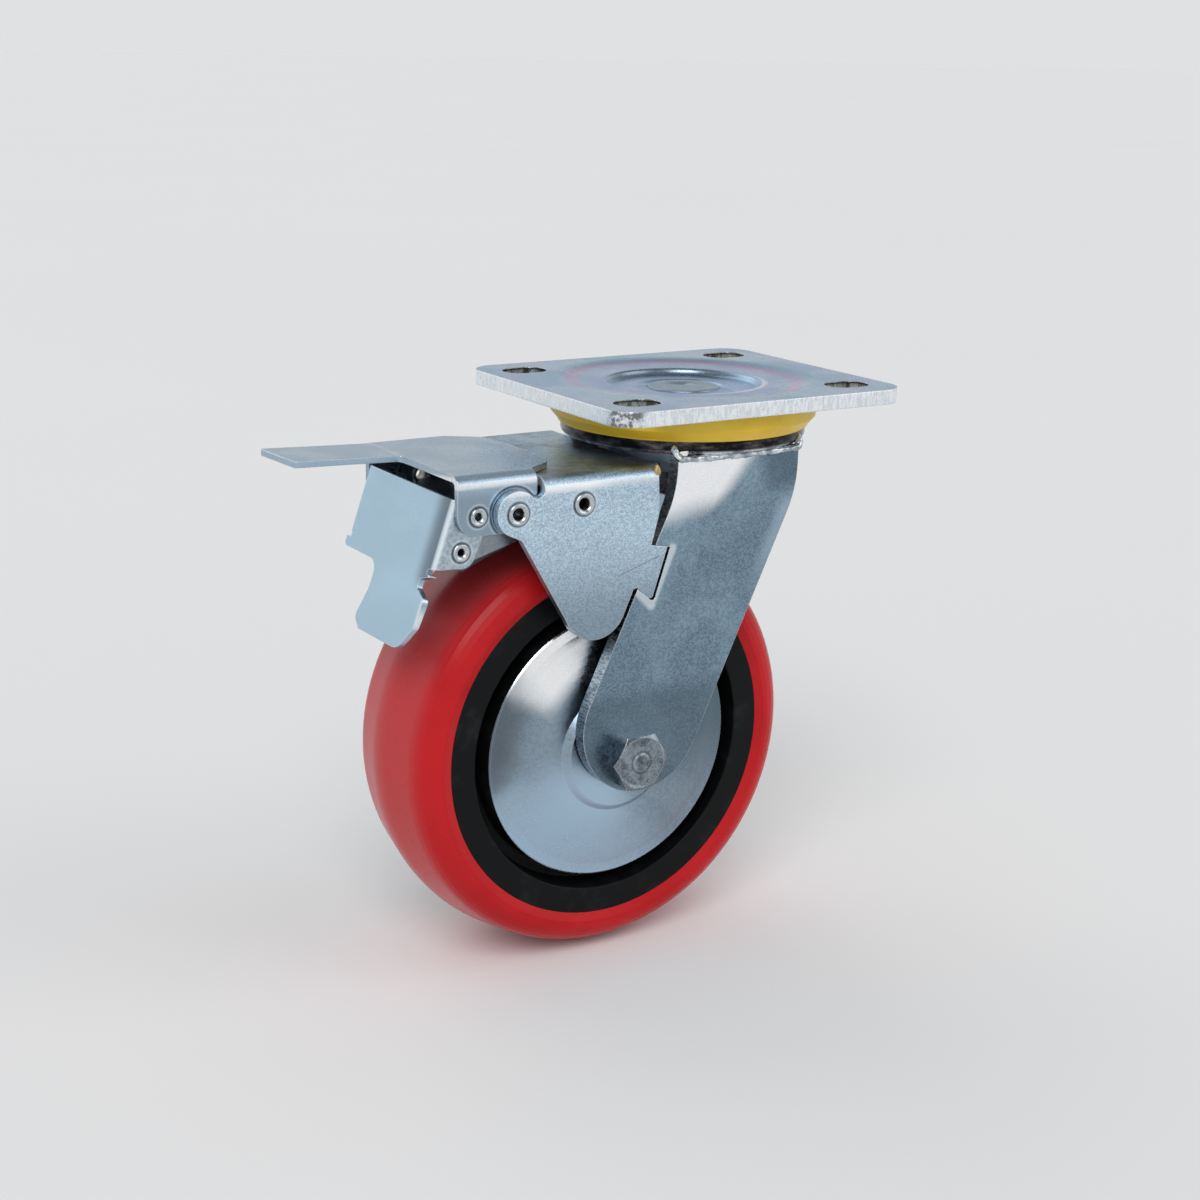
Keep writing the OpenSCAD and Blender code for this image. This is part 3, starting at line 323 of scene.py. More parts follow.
def plate_sides(s, color):
    """The slots' walls are painted in mottled light and shade, darker at their top edge, and one corner
    of the rim has a painted dark reflection.
    """
    soft = s.noise(260, 3.0, 0.5, stretch=(1.0, 1.0, 0.4))
    # Painted light and shade on the slots' walls, darker at their top edge
    wall = s.mix(s.span(soft, 0.38, 0.58), (0.14, 0.13, 0.08), (0.62, 0.66, 0.64))
    wall = s.mix(s.span(s.axis(2), -0.0012, -0.0004), wall, (0.05, 0.05, 0.035))
    color = s.mix(in_slots(s), color, wall)
    # A painted dark reflection on one corner of the rim
    corner = s.span(s.distance((-0.0545, -0.0485, 0), "xy"), 0.0075, 0.0045)
    dark_corner_reflection = s.times(corner, s.span(s.noise(420, 4.0, 0.65), 0.44, 0.56))
    return s.paint(color, dark_corner_reflection, 0.85, (0.10, 0.11, 0.12))


def leg_sides(s, color):
    """A leg's torn edge is lit near the crown, more brightly in its pits."""
    pits = s.noise(700, 4.0, 0.65)
    lit = s.span(s.plus(s.axis(2), s.times(pits, 0.008)), -0.050, -0.036)
    return s.mix(lit, color, s.mix(pits, (0.70, 0.76, 0.80), (0.92, 0.95, 0.98)))


def ring(s, color, place, r):
    """A ring of painted shade where the sheet is dimpled round a rivet's head of radius r, in mm, and a
    painted highlight on its lip.
    """
    reach = 0.9
    away = s.distance(on_line(place), "xz")
    dimple = s.band(away, (r - 0.2) * MM, r * MM, (r + reach * 0.3) * MM, (r + reach) * MM)
    lip = s.band(away, (r + reach * 0.5) * MM, (r + reach) * MM, (r + reach) * MM, (r + reach * 1.8) * MM)
    # Painted shade in the dimple and a painted highlight on its lip
    color = s.paint(color, dimple, 0.75, (0.05, 0.06, 0.07))
    return s.paint(color, lip, 0.4, (0.75, 0.82, 0.88))


# The plate's bands of colour: inner, middle and outer radius in metres, depth and tint
PLATE_BANDS = (
    (0.0345, 0.0390, 0.0430, 0.62, (0.58, 0.36, 0.55)),
    (0.0410, 0.0450, 0.0510, 0.35, (0.22, 0.46, 0.50)),
    (0.0260, 0.0295, 0.0345, 0.45, (0.40, 0.36, 0.66)),
    (0.0120, 0.0190, 0.0250, 0.40, (0.40, 0.48, 0.78)),
    (0.0520, 0.0580, 0.0660, 0.30, (0.48, 0.40, 0.60)),
    (0.0620, 0.0680, 0.0740, 0.25, (0.28, 0.50, 0.52)),
)


def plate_look(s, color, roughness):
    """Faint pink, violet and green interference colours round the pressed dish, and painted shade and
    highlights on its step, the floor inside it and its lip.
    """
    r = s.distance((0, 0, 0), "xy")
    turn = s.math("ARCTAN2", s.axis(1), s.axis(0))
    soft_r = s.plus(r, s.wobble(45, 0.006))
    up = s.flats(2)
    for low, mid, high, depth, tint in PLATE_BANDS:
        band = s.band(soft_r, low, mid, mid, high)
        color = s.paint(color, s.times(band, up), depth, tint)
    wall = s.band(r, 0.0246, 0.0256, 0.0263, 0.0270)
    far = s.math("MAXIMUM", s.lobe(turn, 75, 85), s.times(s.lobe(turn, -105, 60), 0.9))
    inner = s.band(r, 0.0125, 0.0150, 0.0246, 0.0256)
    lip = s.band(r, 0.0266, 0.0272, 0.0278, 0.0292)
    # Painted shade on the step's far and near walls and on the floor's far side; painted highlights on
    # the wall's left side, the floor's left side and the lip's near side
    for zone, side, amount, tint in (
            (wall, far, 0.75, (0.07, 0.09, 0.11)),
            (wall, s.lobe(turn, 195, 40), 0.7, (0.70, 0.74, 0.86)),
            (inner, s.lobe(turn, 55, 70), 0.30, (0.15, 0.20, 0.26)),
            (inner, s.lobe(turn, 190, 55), 0.4, (0.52, 0.60, 0.74)),
            (lip, s.lobe(turn, -60, 75), 0.7, (0.82, 0.87, 0.90))):
        color = s.mix(s.times(zone, s.times(side, amount)), color, tint)
    return color, roughness


def crown_look(s, color, roughness):
    """The crown is drawn smooth, and its colour is a painted dark reflection of its surroundings,
    streaked, with a painted highlight along its rim.
    """
    z = s.axis(2)
    band = s.span(z, -0.0184, -0.0172)
    streak = s.span(s.noise(160, 4.0, 0.6, stretch=(1.0, 1.0, 3.0)), 0.42, 0.74)
    # A painted dark reflection above and a painted highlight along the rim below
    dark = s.mix(streak, (0.012, 0.012, 0.014), (0.13, 0.11, 0.11))
    rim = s.mix(s.span(s.noise(240, 3.0, 0.6), 0.4, 0.6), (0.25, 0.28, 0.31), (0.80, 0.84, 0.88))
    return s.mix(band, rim, dark), s.mix(band, roughness, (0.16, 0.16, 0.16))


def leg_look(s, color, roughness):
    """Light gathers on a leg's upper rear, on its front edge and round its notch, away from its foot."""
    x, z = s.axis(0), s.axis(2)
    soft = s.wobble(38, 0.006)
    # Distance in front of the leg's middle line, which is upright down to the knee and slanted below it
    middle = s.times(s.math("MINIMUM", s.plus(z, -LEG_KNEE[1] * MM), 0.0), LEG_SLANT)
    across = s.minus(s.minus(x, LEG_KNEE[0] * MM), middle)
    back = s.math("MAXIMUM", s.plus(across, 0.008), 0.0)
    shine_z = s.minus(s.minus(z, s.times(across, 0.17)), back)
    top = s.span(s.plus(shine_z, s.times(soft, 0.5)), -0.0400, -0.0290)
    roll = s.times(s.span(across, 0.0175, 0.0235), s.band(z, -0.072, -0.050, -0.040, -0.033))
    shade = s.times(s.span(across, 0.006, 0.015), s.span(z, -0.037, -0.029))
    notch = s.math("MAXIMUM",
                   s.near((-0.0268, -0.0490), (-0.0338, -0.0655), 0.0007, 0.0022),
                   s.near((-0.0405, -0.0612), (-0.0346, -0.0672), 0.0008, 0.0026))
    foot = s.span(z, -0.092, -0.101)
    color = s.paint(color, shade, 0.6, (0.08, 0.12, 0.16))
    color = s.paint(color, roll, 0.7, (0.38, 0.50, 0.60))
    color = s.paint(color, foot, 0.5, (0.07, 0.095, 0.12))
    color = s.paint(color, notch, 0.7, (0.72, 0.80, 0.85))
    color = s.mix(top, color, (0.97, 0.98, 1.0))
    return color, roughness


def housing_look(s, color, roughness):
    """The sides darken below a painted highlight along the fold and have a scratch, and a brown stain
    lies on the top.
    """
    z = s.axis(2)
    low = s.span(z, -0.036, -0.074)
    color = s.paint(color, low, 0.62, (0.13, 0.18, 0.23))
    # A painted highlight along the fold
    fold = s.times(s.span(z, -0.0272, -0.0250), s.sides(2))
    fold = s.times(fold, s.span(s.axis(0), -0.046, -0.060, 0.45, 0.9))
    color = s.mix(fold, color, (0.97, 0.98, 1.0))
    scratch = s.near((-0.0475, -0.0560), (-0.0318, -0.0510), 0.00008, 0.0003)
    color = s.paint(color, scratch, 0.5, (0.12, 0.15, 0.18))
    top = s.times(s.flats(2), s.span(z, -0.0225, -0.0215))
    stain = s.times(top, s.span(s.noise(70, 4.0, 0.6), 0.42, 0.62))
    color = s.paint(color, stain, 0.55, (0.20, 0.18, 0.12))
    color = ring(s, color, PEDAL_PIVOT, 3.6)
    return ring(s, color, LEVER_PIVOT, 3.6), roughness


def pedal_look(s, color, roughness):
    """The hood's sides are darker below a painted highlight along its fold."""
    z = s.axis(2)
    low = s.span(z, -0.0225, -0.0265)
    color = s.paint(color, low, 0.5, (0.20, 0.26, 0.32))
    # A painted highlight along the fold
    fold = s.times(s.band(z, -0.0236, -0.0222, -0.0200, -0.0188), s.sides(2))
    color = s.paint(color, fold, 0.8, (0.95, 0.97, 0.99))
    color = ring(s, color, PEDAL_PIVOT, 8.0)
    return ring(s, color, RELEASE_PIVOT, 2.9), roughness


def release_look(s, color, roughness):
    """The face is cloudy, the near fold has a band of painted shade and a painted highlight line, and the
    flange is greyer.
    """
    y = s.axis(1)
    soft = s.span(s.noise(28, 3.0, 0.6, stretch=(1.0, 0.6, 1.4)), 0.35, 0.65)
    color = s.paint(color, soft, 0.3, (0.38, 0.50, 0.60))
    # A band of painted shade along the near fold
    band = s.band(y, -0.0190, -0.0270, -0.0282, -0.0292)
    band = s.times(band, s.span(s.axis(2), -0.056, -0.050))
    color = s.paint(color, band, 0.85, (0.17, 0.22, 0.27))
    flange = s.span(y, -0.0296, -0.0302)
    grey = s.mix(s.span(s.noise(900, 4.0, 0.7), 0.35, 0.65), (0.30, 0.36, 0.41), (0.52, 0.59, 0.65))
    color = s.paint(color, flange, 0.85, grey)
    # A painted highlight line along the fold's edge
    line = s.band(y, -0.0284, -0.0292, -0.0296, -0.0302)
    color = s.paint(color, line, 0.7, (0.93, 0.96, 0.98))
    return ring(s, color, (-101.7, -43.2), 2.9), roughness


def bolt_look(s, color, roughness):
    """The head's flats have painted shade below and a painted highlight above, and its face a ring of
    painted shade for a turned groove.
    """
    r = s.distance(on_line(AXLE), "xz")
    # A ring of painted shade for a turned groove
    groove = s.band(r, 0.0030, 0.0034, 0.0038, 0.0042)
    color = s.paint(color, groove, 0.5, (0.06, 0.07, 0.08))
    # Painted shade on the lower flats and a painted highlight on the upper ones
    flat = s.sides(1)
    below = s.span(s.axis(2), -0.1165, -0.1205)
    color = s.mix(s.times(flat, s.times(below, 0.8)), color, (0.06, 0.075, 0.09))
    above = s.span(s.axis(2), -0.1120, -0.1095)
    return s.mix(s.times(flat, s.times(above, 0.7)), color, (0.80, 0.84, 0.87)), roughness


def cap_look(s, color, roughness):
    """The domed cap is painted with reflections: a dark room in front and behind, a lamp above and a pale
    floor below.
    """
    x = s.minus(s.axis(0), AXLE[0] * MM)
    z = s.minus(s.axis(2), AXLE[1] * MM)
    r = s.distance(on_line(AXLE), "xz")
    turn = s.plus(s.math("ARCTAN2", z, x), s.wobble(24, 0.9))
    # Painted reflections: the dark room, a darker outer left edge, the lamp's highlight and the pale
    # floor
    dark = s.times(s.lobe(turn, 35, 85), 0.95)
    left = s.times(s.lobe(turn, 165, 32), s.span(r, 0.032, 0.042))
    lamp = s.times(s.lobe(turn, 119, 33), s.span(r, 0.026, 0.034))
    floor = s.times(s.lobe(turn, 242, 66), 0.85)
    color = s.mix(dark, color, (0.11, 0.16, 0.20))
    color = s.mix(floor, color, (0.47, 0.64, 0.80))
    color = s.paint(color, left, 0.8, (0.10, 0.12, 0.14))
    color = s.mix(lamp, color, (0.98, 0.99, 1.0))
    return color, roughness


def build_materials():
    """Every material of the castor, by the short name that LOOKS and the added pieces use."""
    m = {}
    m["plate"] = zinc("plate_zinc", (0.36, 0.53, 0.72), (0.25, 0.38, 0.52), (0.24, 0.36), grain=1800,
                      grain_depth=0.12, patch=35, patch_depth=0.35, sheared=2, radius=0.7, edge_highlight=0.7,
                      torn=((0.70, 0.76, 0.81), (0.90, 0.94, 0.97)), pitted=0.55,
                      look=plate_look, torn_look=plate_sides)
    m["pin"] = zinc("pin_zinc", (0.36, 0.46, 0.54), (0.24, 0.31, 0.38), (0.30, 0.45), patch=90,
                    patch_depth=0.3)
    m["leg"] = zinc("leg_zinc", (0.30, 0.42, 0.51), (0.12, 0.18, 0.24), (0.26, 0.40), grain=2600,
                    grain_depth=0.45, patch=45, patch_depth=0.35, sheared=1, bump=0.25, radius=0.5,
                    edge_highlight=0.7, torn=((0.10, 0.13, 0.16), (0.34, 0.41, 0.47)), look=leg_look,
                    torn_look=leg_sides)
    m["housing"] = zinc("housing_zinc", (0.66, 0.82, 0.94), (0.34, 0.46, 0.56), (0.34, 0.46), grain=3600,
                        grain_depth=0.80, patch=40, patch_depth=0.10, bump=0.9, radius=0.6, edge_highlight=0.8,
                        look=housing_look)
    m["pedal"] = zinc("pedal_zinc", (0.44, 0.56, 0.66), (0.34, 0.45, 0.55), (0.24, 0.36), grain=1800,
                      grain_depth=0.15, patch=30, patch_depth=0.35, bump=0.08, radius=0.6, edge_highlight=0.85,
                      look=pedal_look)
    m["release"] = zinc("release_zinc", (0.54, 0.74, 0.88), (0.46, 0.65, 0.79), (0.30, 0.40), grain=1800,
                        grain_depth=0.1, patch=22, patch_depth=0.4, bump=0.06, radius=0.6, edge_highlight=0.85,
                        look=release_look)
    m["crown"] = zinc("crown_zinc", (0.55, 0.59, 0.63), (0.30, 0.33, 0.37), (0.20, 0.34), grain=1200,
                      grain_depth=0.2, patch=90, patch_depth=0.5, look=crown_look)
    m["bolt"] = zinc("bolt_zinc", (0.32, 0.38, 0.43), (0.08, 0.10, 0.12), (0.22, 0.34), grain=2000,
                     grain_depth=0.35, patch=220, patch_depth=0.55, bump=0.3, radius=0.5, edge_highlight=0.85,
                     look=bolt_look)
    m["rivet"] = zinc("rivet_steel", (0.66, 0.71, 0.74), (0.40, 0.44, 0.47), (0.18, 0.30), grain=1500,
                      grain_depth=0.2, patch=400, patch_depth=0.4, radius=0.15)
    m["hole"] = zinc("rivet_bore", (0.30, 0.24, 0.12), (0.08, 0.07, 0.05), (0.30, 0.45), grain=1500,
                     grain_depth=0.3, patch=500, patch_depth=0.5, radius=0.1)
    m["weld"] = zinc("weld_zinc", (0.88, 0.92, 0.96), (0.24, 0.28, 0.32), (0.16, 0.30), grain=900,
                     grain_depth=0.12, patch=180, patch_depth=0.8, radius=0.2, bump=0.2)
    m["brass"] = zinc("solder_drop", (0.66, 0.50, 0.25), (0.38, 0.28, 0.13), (0.30, 0.45), grain=1200,
                      grain_depth=0.3, patch=500, patch_depth=0.4, radius=0.2)
    m["cap"] = zinc("cap_steel", (0.34, 0.43, 0.51), (0.20, 0.26, 0.32), (0.24, 0.34), grain=1500,
                    grain_depth=0.3, patch=30, patch_depth=0.25, bump=0.1, look=cap_look)
    m["dark"] = zinc("lever_zinc", (0.40, 0.44, 0.48), (0.18, 0.21, 0.24), (0.30, 0.46), grain=1100,
                     grain_depth=0.3, patch=80, patch_depth=0.4)
    m["spring"] = zinc("spring_wire", (0.40, 0.42, 0.45), (0.20, 0.22, 0.25), (0.22, 0.34), radius=0.1)
    m["ball"] = zinc("ball_steel", (0.70, 0.71, 0.73), (0.50, 0.52, 0.55), (0.08, 0.16), grain=2500,
                     grain_depth=0.05, patch=300, patch_depth=0.15, radius=0.05, bump=0.02)

    s = Shader("shoe_iron")
    cast = s.noise(900, 5.0, 0.7)
    m["shoe"] = s.finish(s.mix(cast, (0.05, 0.05, 0.055), (0.16, 0.16, 0.17)),
                         s.span(cast, 0.3, 0.7, 0.45, 0.7),
                         s.bump(cast, 0.5, 0.15 * MM, s.bevel(0.4 * MM)), Metallic=0.7)

    s = Shader("tread_polyurethane")
    flow = s.noise(28, 3.0, 0.5, distort=0.6)
    dust = s.noise(1600, 3.0, 0.7)
    color = s.mix(s.span(flow, 0.3, 0.7), (0.43, 0.008, 0.011), (0.50, 0.012, 0.016))
    # A painted sheen, pinker across the middle of the tread
    middle = s.span(s.math("ABSOLUTE", s.axis(1)), 0.0225, 0.0150, 0.0, 0.6)
    color = s.mix(middle, color, (0.50, 0.065, 0.070))
    color = s.mix(s.span(dust, 0.62, 0.75, 0.0, 0.12), color, (0.60, 0.16, 0.16))
    m["tread"] = s.finish(color, s.span(flow, 0.3, 0.7, 0.22, 0.30),
                          s.bump(s.noise(60, 3.0), 0.05, 0.6 * MM),
                          **{"IOR": 1.5, "Specular IOR Level": 0.16})

    s = Shader("core_black")
    grain = s.noise(1500, 4.0, 0.7)
    rub = s.span(s.noise(90, 4.0, 0.6), 0.5, 0.72)
    m["core"] = s.finish(s.mix(rub, (0.004, 0.0045, 0.005), (0.012, 0.013, 0.015)),
                         s.span(grain, 0.3, 0.7, 0.32, 0.48),
                         s.bump(grain, 0.25, 0.06 * MM, s.bevel(0.4 * MM)),
                         **{"IOR": 1.5, "Specular IOR Level": 0.12})

    s = Shader("seal_yellow")
    flow = s.noise(60, 3.0, 0.5)
    m["seal"] = s.finish(s.mix(s.span(flow, 0.3, 0.7), (0.70, 0.44, 0.012), (0.80, 0.53, 0.03)),
                         s.span(s.noise(900, 3.0), 0.3, 0.7, 0.34, 0.46),
                         s.bump(flow, 0.1, 0.2 * MM, s.bevel(0.3 * MM)), IOR=1.5)
    return m


LOOKS = {
    "top_plate": "plate", "king_pin": "pin", "king_nut": "bolt", "upper_balls": "ball",
    "lower_balls": "ball", "lower_race": "pin", "lock_ring": "dark", "dust_seal": "seal",
    "fork_crown": "crown", "fork_leg_right": "leg", "fork_leg_left": "leg", "brake_housing": "housing",
    "axle_bolt": "bolt", "axle_nut": "bolt", "axle_sleeve": "pin", "hub_spacer_right": "pin",
    "hub_spacer_left": "pin", "bearing_inner_right": "ball", "bearing_inner_left": "ball",
    "bearing_outer_right": "ball", "bearing_outer_left": "ball", "bearing_balls_right": "ball",
    "bearing_balls_left": "ball", "wheel_core": "core", "tyre": "tread", "dust_cap_right": "cap",
    "dust_cap_left": "cap", "brake_pedal": "pedal", "pedal_rivets": "rivet", "release_plate": "release",
    "release_rivets": "rivet", "link_pin": "rivet", "brake_lever": "dark", "lever_pin": "rivet",
    "brake_shoe": "shoe", "return_spring": "spring",
}
materials = build_materials()
for name, look in LOOKS.items():
    mesh = nodes[name].data
    mesh.materials.clear()
    mesh.materials.append(materials[look])


# Added pieces

def finished(bm, name, looks, body, slot, *replaced):
    """Makes a smooth piece of a mesh under construction and says what it rides with and replaces."""
    bmesh.ops.recalc_face_normals(bm, faces=bm.faces)
    me = bpy.data.meshes.new(name)
    bm.to_mesh(me)
    bm.free()
    for face in me.polygons:
        face.use_smooth = True
    o = bpy.data.objects.new(name, me)
    scene.collection.objects.link(o)
    for look in looks:
        me.materials.append(materials[look])
    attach(o, body)
    if replaced:
        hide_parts(*replaced)


def join_loops(bm, loops, indices):
    """Faces between each loop of corners and the next, round and round; indices are their materials."""
    for a, b in zip(loops, loops[1:] + loops[:1]):
        for k, index in enumerate(indices):
            after = (k + 1) % len(indices)
            face = bm.faces.new((a[k], b[k], b[after], a[after]))
            face.material_index = index


def turned(bm, profile, at, bore, steps=48):
    """A ring turned about a line along Y through at = (x, z); profile is (radius, y) in mm.

    Faces nearer to the line than bore have the second material.
    """
    loops = []
    for i in range(steps):
        a = 2 * math.pi * i / steps
        places = [(at[0] + r * math.cos(a), y, at[1] + r * math.sin(a)) for r, y in profile]
        loops.append([bm.verts.new((x * MM, y * MM, z * MM)) for x, y, z in places])
    inside = [r < bore for r, y in profile]
    join_loops(bm, loops, [int(this and after) for this, after in zip(inside, inside[1:] + inside[:1])])


def lathed(bm, profile, steps=128):
    """A ring turned about the swivel axis; profile is (radius, z) in mm."""
    loops = []
    for i in range(steps):
        a = 2 * math.pi * i / steps
        sine, cosine = math.sin(a), math.cos(a)
        loops.append([bm.verts.new((r * cosine * MM, r * sine * MM, z * MM)) for r, z in profile])
    join_loops(bm, loops, [0] * len(profile))


def build_dish():
    """The dish has a crisp inner step, and the pin's head stands just proud of the floor inside it."""
    top = [(45.0, -0.005), (43.0, -0.20), (42.0, -0.46), (41.0, -0.78), (40.0, -1.04), (39.0, -1.20),
           (37.5, -1.30), (34.0, -1.34), (30.0, -1.30), (28.6, -1.20), (27.8, -1.12), (27.2, -1.12),
           (26.7, -1.22), (26.3, -1.55), (26.0, -2.20), (25.7, -2.80), (25.2, -3.05), (24.0, -3.18),
           (18.0, -3.28), (12.0, -3.30)]
    under = [(12.0, -3.7), (24.0, -3.6), (28.0, -2.6), (38.0, -2.2), (45.0, -0.5)]
    head = [(0.02, -2.74), (10.6, -2.74), (11.5, -2.80), (12.1, -2.95), (12.3, -3.15), (12.3, -3.6),
            (0.02, -3.6)]
    for name, profile, look, slot in (("dish_face", top + under, "plate", "zinc_plate"),
                                      ("pin_head", head, "pin", "zinc_pin")):
        bm = bmesh.new()
        lathed(bm, profile)
        finished(bm, name, (look,), "base", slot)


def eyelet_profile(r, lip, head, hole, low, high, collar):
    """A hollow rivet between the faces at low and high: a rolled head on each end, perhaps a collar."""
    def roll(face, out):
        return [(hole - 0.1, face - out * 2.2), (hole + 0.05, face - out * 0.3),
                (hole + 0.3, face + out * head * 0.45), (r, face + out * head * 0.9),
                (r + lip * 0.45, face + out * head), (r + lip * 0.8, face + out * head * 0.8),
                (r + lip, face + out * head * 0.4), (r + lip, face)]
    shank = [(r, high), (r, low)]
    if collar:
        near, far, wide = collar
        shank = [(r, high), (r, far), (wide, far), (wide, near), (r, near), (r, low)]
    return roll(high, 1) + shank + roll(low, -1)[::-1]


# For each kind of rivet: its piece, body, replaced node and place, then in mm its shank's radius with the
# head's overhang, height and bore, the faces it holds, its collar, and how far out it starts to be lit
EYELETS = (
    ("pedal_eyelets", "fork", "pedal_rivets", PEDAL_PIVOT, (2.8, 0.8, 0.8, 1.8),
     ((30.6, 36), (-36, -30.6)), None, 30.65),
    ("release_eyelets", "pedal", "release_rivets", RELEASE_PIVOT, (2.1, 0.8, 0.8, 1.1),
     ((28.3, 32.7), (-32.7, -28.3)), None, 28.35),
    ("link_eyelet", "release", "link_pin", LINK_PIN, (2.1, 0.8, 0.6, 1.1),
     ((-30.4, 30.4),), None, 0.0),
    ("lever_eyelet", "fork", "lever_pin", LEVER_PIVOT, (2.8, 0.8, 0.8, 1.8),
     ((-36, 36),), (27.5, 32.7, 4.4), 0.0),
)
# A bore is dark this near to the middle, in mm
BORE_DARK = 34


def build_rivets():
    """The hollow rivets, dark where no light gets to them."""
    for name, body, node, at, (r, lip, head, hole), spans, collar, lit_from in EYELETS:
        bm = bmesh.new()
        for low, high in spans:
            turned(bm, eyelet_profile(r, lip, head, hole, low, high, collar), at, bore=hole + 0.1)
        for face in bm.faces:
            across = abs(face.calc_center_median().y)
            in_bore = face.material_index == 1
            if across < lit_from * MM or (in_bore and across < BORE_DARK * MM):
                face.material_index = 2
        finished(bm, name, ("rivet", "hole", "dark"), body, "rivet_steel", node)


def bead(bm, points, radius, ripple, seed):
    """A weld bead along points in mm, with the ripples and uneven width of a hand weld."""
    pace, sides, taper, passes = 0.35, 14, 5, 6
    path = []
    for a, b in zip(points, points[1:]):
        a, b = Vector(a), Vector(b)
        steps = max(2, int((b - a).length / pace))
        path += [a.lerp(b, i / steps) for i in range(steps)]
    path.append(Vector(points[-1]))
    for _ in range(passes):
        inner = [(a + b * 2 + c) / 4 for a, b, c in zip(path, path[1:], path[2:])]
        path = [path[0], *inner, path[-1]]
    last, rows, run = len(path) - 1, [], 0.0
    for i, p in enumerate(path):
        along = (path[min(i + 1, last)] - path[max(i - 1, 0)]).normalized()
        u = along.cross(Vector((0.1, 0.3, 1.0))).normalized()
        v = along.cross(u)
        run += pace
        swell = 1 + 0.12 * math.sin(run * 0.5 + seed) + 0.07 * math.sin(run * 1.3 + seed * 2.1)
        swell += 0.06 * abs(math.sin(run * math.pi / ripple))
        end = min(1.0, (min(i, last - i) + 0.5) / taper)
        r = radius * swell * math.sqrt(end)
        row = []
        for k in range(sides):
            a = 2 * math.pi * k / sides
            lump = 1 + 0.07 * math.sin(3 * a + run * 1.3 + seed) + 0.05 * math.sin(5 * a - run * 2.3)
            row.append(bm.verts.new((p + (u * math.cos(a) + v * math.sin(a)) * r * lump) * MM))
        rows.append(row)
    for a, b in zip(rows, rows[1:]):
        for k in range(sides):
            bm.faces.new((a[k], a[(k + 1) % sides], b[(k + 1) % sides], b[k]))
    bm.faces.new(rows[0][::-1])
    bm.faces.new(rows[-1])


def build_welds():
    """The seams between the crown and the two legs."""
    seam = [(-25.9, 33.6, -15.2), (-25.8, 34.4, -17.8), (-24.9, 36.0, -19.6), (-20, 36.9, -19.9),
            (-8, 37.2, -19.9), (6, 37.2, -19.9), (18, 36.9, -19.9), (22.8, 36.2, -19.6),
            (23.7, 34.8, -17.6), (24.0, 34.0, -15.4)]
    bm = bmesh.new()
    for side in (-1, 1):
        bead(bm, [(x, side * y, z) for x, y, z in seam], radius=1.15, ripple=1.7, seed=1.0 + side)
    finished(bm, "crown_welds", ("weld",), "fork", "crown_steel")


def build_solder_drop():
    """The brass coloured drop on the near corner of the brake housing."""
    middle, size = (-33.1, -34.9, -22.9), (1.35, 1.25, 2.2)
    bm = bmesh.new()
    bmesh.ops.create_icosphere(bm, subdivisions=3, radius=1.0)
    for v in bm.verts:
        c = v.co.copy()
        lump = 1 + 0.10 * math.sin(4 * c.x + 2.2 * c.z) + 0.07 * math.sin(6 * c.y - 3 * c.z)
        slim = 1.0 - 0.28 * c.z
        place = (middle[0] + c.x * size[0] * lump * slim,
                 middle[1] + c.y * size[1] * lump * slim,
                 middle[2] + c.z * size[2] * lump)
        v.co = Vector(place) * MM
    finished(bm, "solder_drop", ("brass",), "fork", "rivet_steel")


build_dish()
build_rivets()
build_welds()
build_solder_drop()


# Floor, light and camera

# Wide enough, in metres, for the floor to end at the horizon
FLOOR_RADIUS = 60.0


def build_stage():
    """A plain pale floor."""
    s = Shader("floor_pale")
    soft = s.noise(1.2, 2.0)
    s.finish(s.mix(soft, (0.79, 0.79, 0.79), (0.81, 0.81, 0.81)), 0.8, **{"Specular IOR Level": 0.2})
    me = bpy.data.meshes.new("floor")
    bm = bmesh.new()
    bmesh.ops.create_circle(bm, cap_ends=True, radius=FLOOR_RADIUS, segments=96)
    bm.to_mesh(me)
    bm.free()
    floor = bpy.data.objects.new("floor", me)
    floor.location.z = cad_bounds[0][2]
    floor.data.materials.append(s.mat)
    scene.collection.objects.link(floor)


def far_light(name, from_direction, strength, width):
    """A wide soft lamp, far enough away to light the whole floor evenly."""
    lamp = bpy.data.lights.new(name, "SUN")
    lamp.energy = strength
    lamp.angle = math.radians(width)
    o = bpy.data.objects.new(name, lamp)
    o.location = Vector(from_direction).normalized() * 2
    o.rotation_euler = Vector(from_direction).to_track_quat("Z", "Y").to_euler()
    scene.collection.objects.link(o)


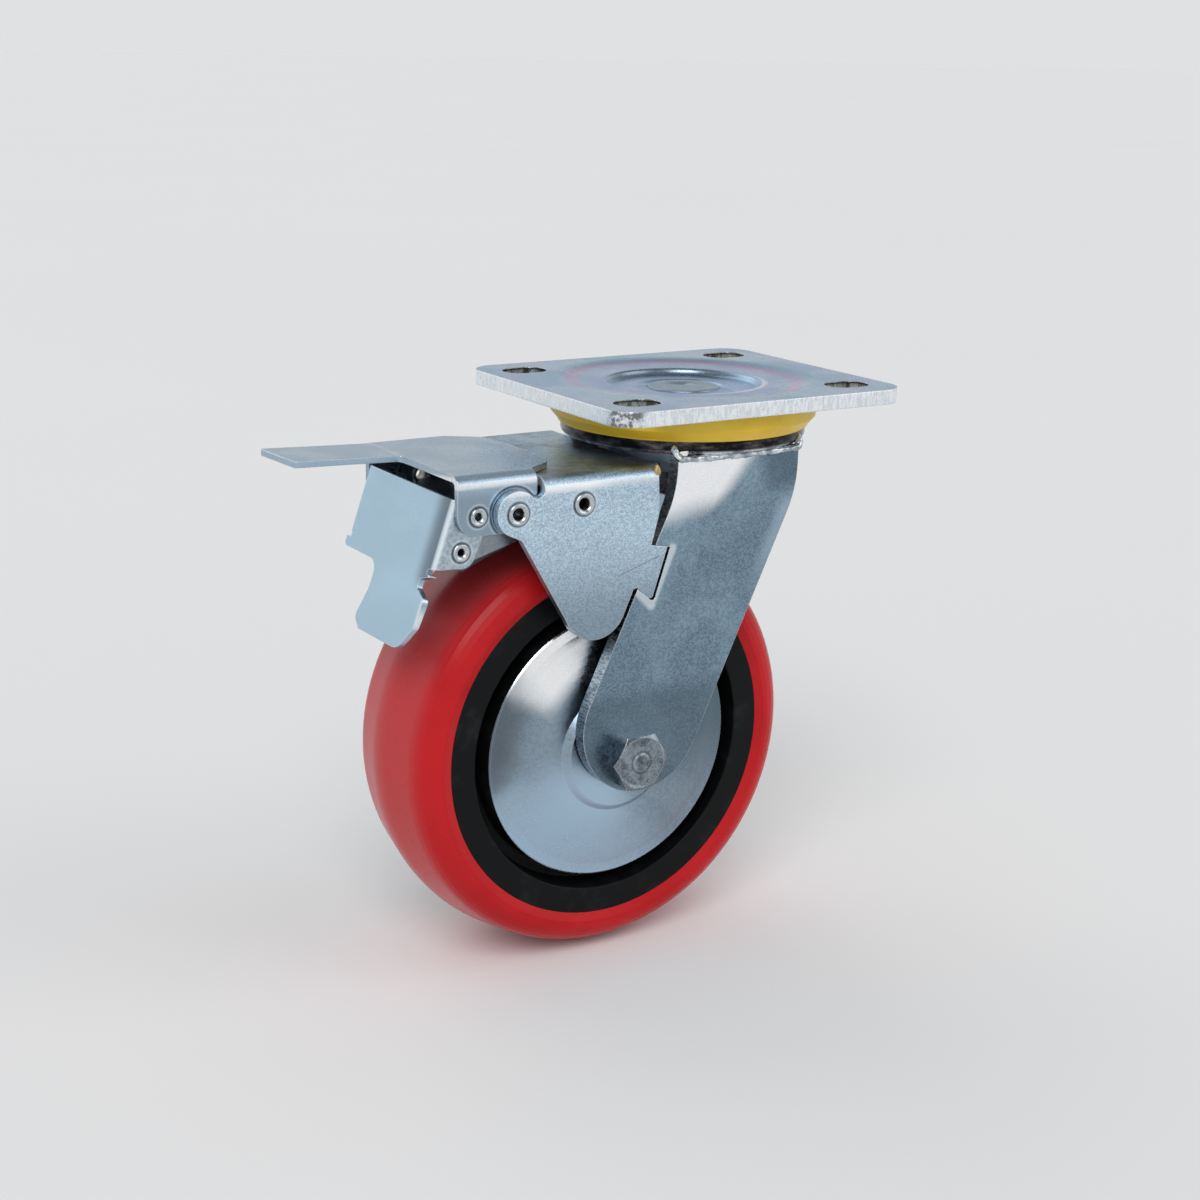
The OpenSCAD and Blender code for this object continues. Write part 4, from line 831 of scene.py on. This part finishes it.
def build_light():
    """A pale room that is darker overhead, and three wide soft lamps."""
    world = bpy.data.worlds.new("studio")
    scene.world = world
    world.use_nodes = True
    tree = world.node_tree
    back = tree.nodes["Background"]
    coord = tree.nodes.new("ShaderNodeTexCoord")
    split = tree.nodes.new("ShaderNodeSeparateXYZ")
    ramp = tree.nodes.new("ShaderNodeValToRGB")
    tree.links.new(coord.outputs["Generated"], split.inputs[0])
    tree.links.new(split.outputs[2], ramp.inputs[0])
    ramp.color_ramp.interpolation = "EASE"
    low, high = ramp.color_ramp.elements
    low.position = 0.06
    low.color = (0.748, 0.756, 0.762, 1)
    high.position = 0.8
    high.color = (0.42, 0.43, 0.44, 1)
    tree.links.new(ramp.outputs[0], back.inputs[0])
    back.inputs[1].default_value = 1.0
    far_light("key", (-0.55, -0.75, 0.9), 1.3, 35)
    far_light("side", (0.8, -0.6, 0.5), 0.5, 45)
    far_light("rear", (-0.2, 0.8, 0.7), 0.4, 50)


# The camera fitted to the photograph: turn, height and roll in degrees, aim and distance in metres
CAMERA_ANGLES = (-32.01, 15.62, 1.15)
CAMERA_AIM = (-0.03181, 0, -0.07492)
CAMERA_DISTANCE = 0.67817
CAMERA_LENS = 59.22


def build_camera():
    """The camera at the photograph's viewing angle."""
    az, el, roll = (math.radians(v) for v in CAMERA_ANGLES)
    back = Vector((math.sin(az) * math.cos(el), -math.cos(az) * math.cos(el), math.sin(el)))
    level = (-back).cross(Vector((0, 0, 1))).normalized()
    rise = level.cross(-back)
    right = level * math.cos(roll) + rise * math.sin(roll)
    up = rise * math.cos(roll) - level * math.sin(roll)
    cam = bpy.data.cameras.new("camera")
    cam.sensor_width = 36.0
    cam.lens = CAMERA_LENS
    cam.clip_start = 0.01
    o = bpy.data.objects.new("camera", cam)
    m = Matrix((right, up, back)).transposed().to_4x4()
    m.translation = Vector(CAMERA_AIM) + back * CAMERA_DISTANCE
    o.matrix_world = m
    scene.collection.objects.link(o)
    scene.camera = o


build_stage()
build_light()
build_camera()
scene.view_settings.view_transform = "Standard"
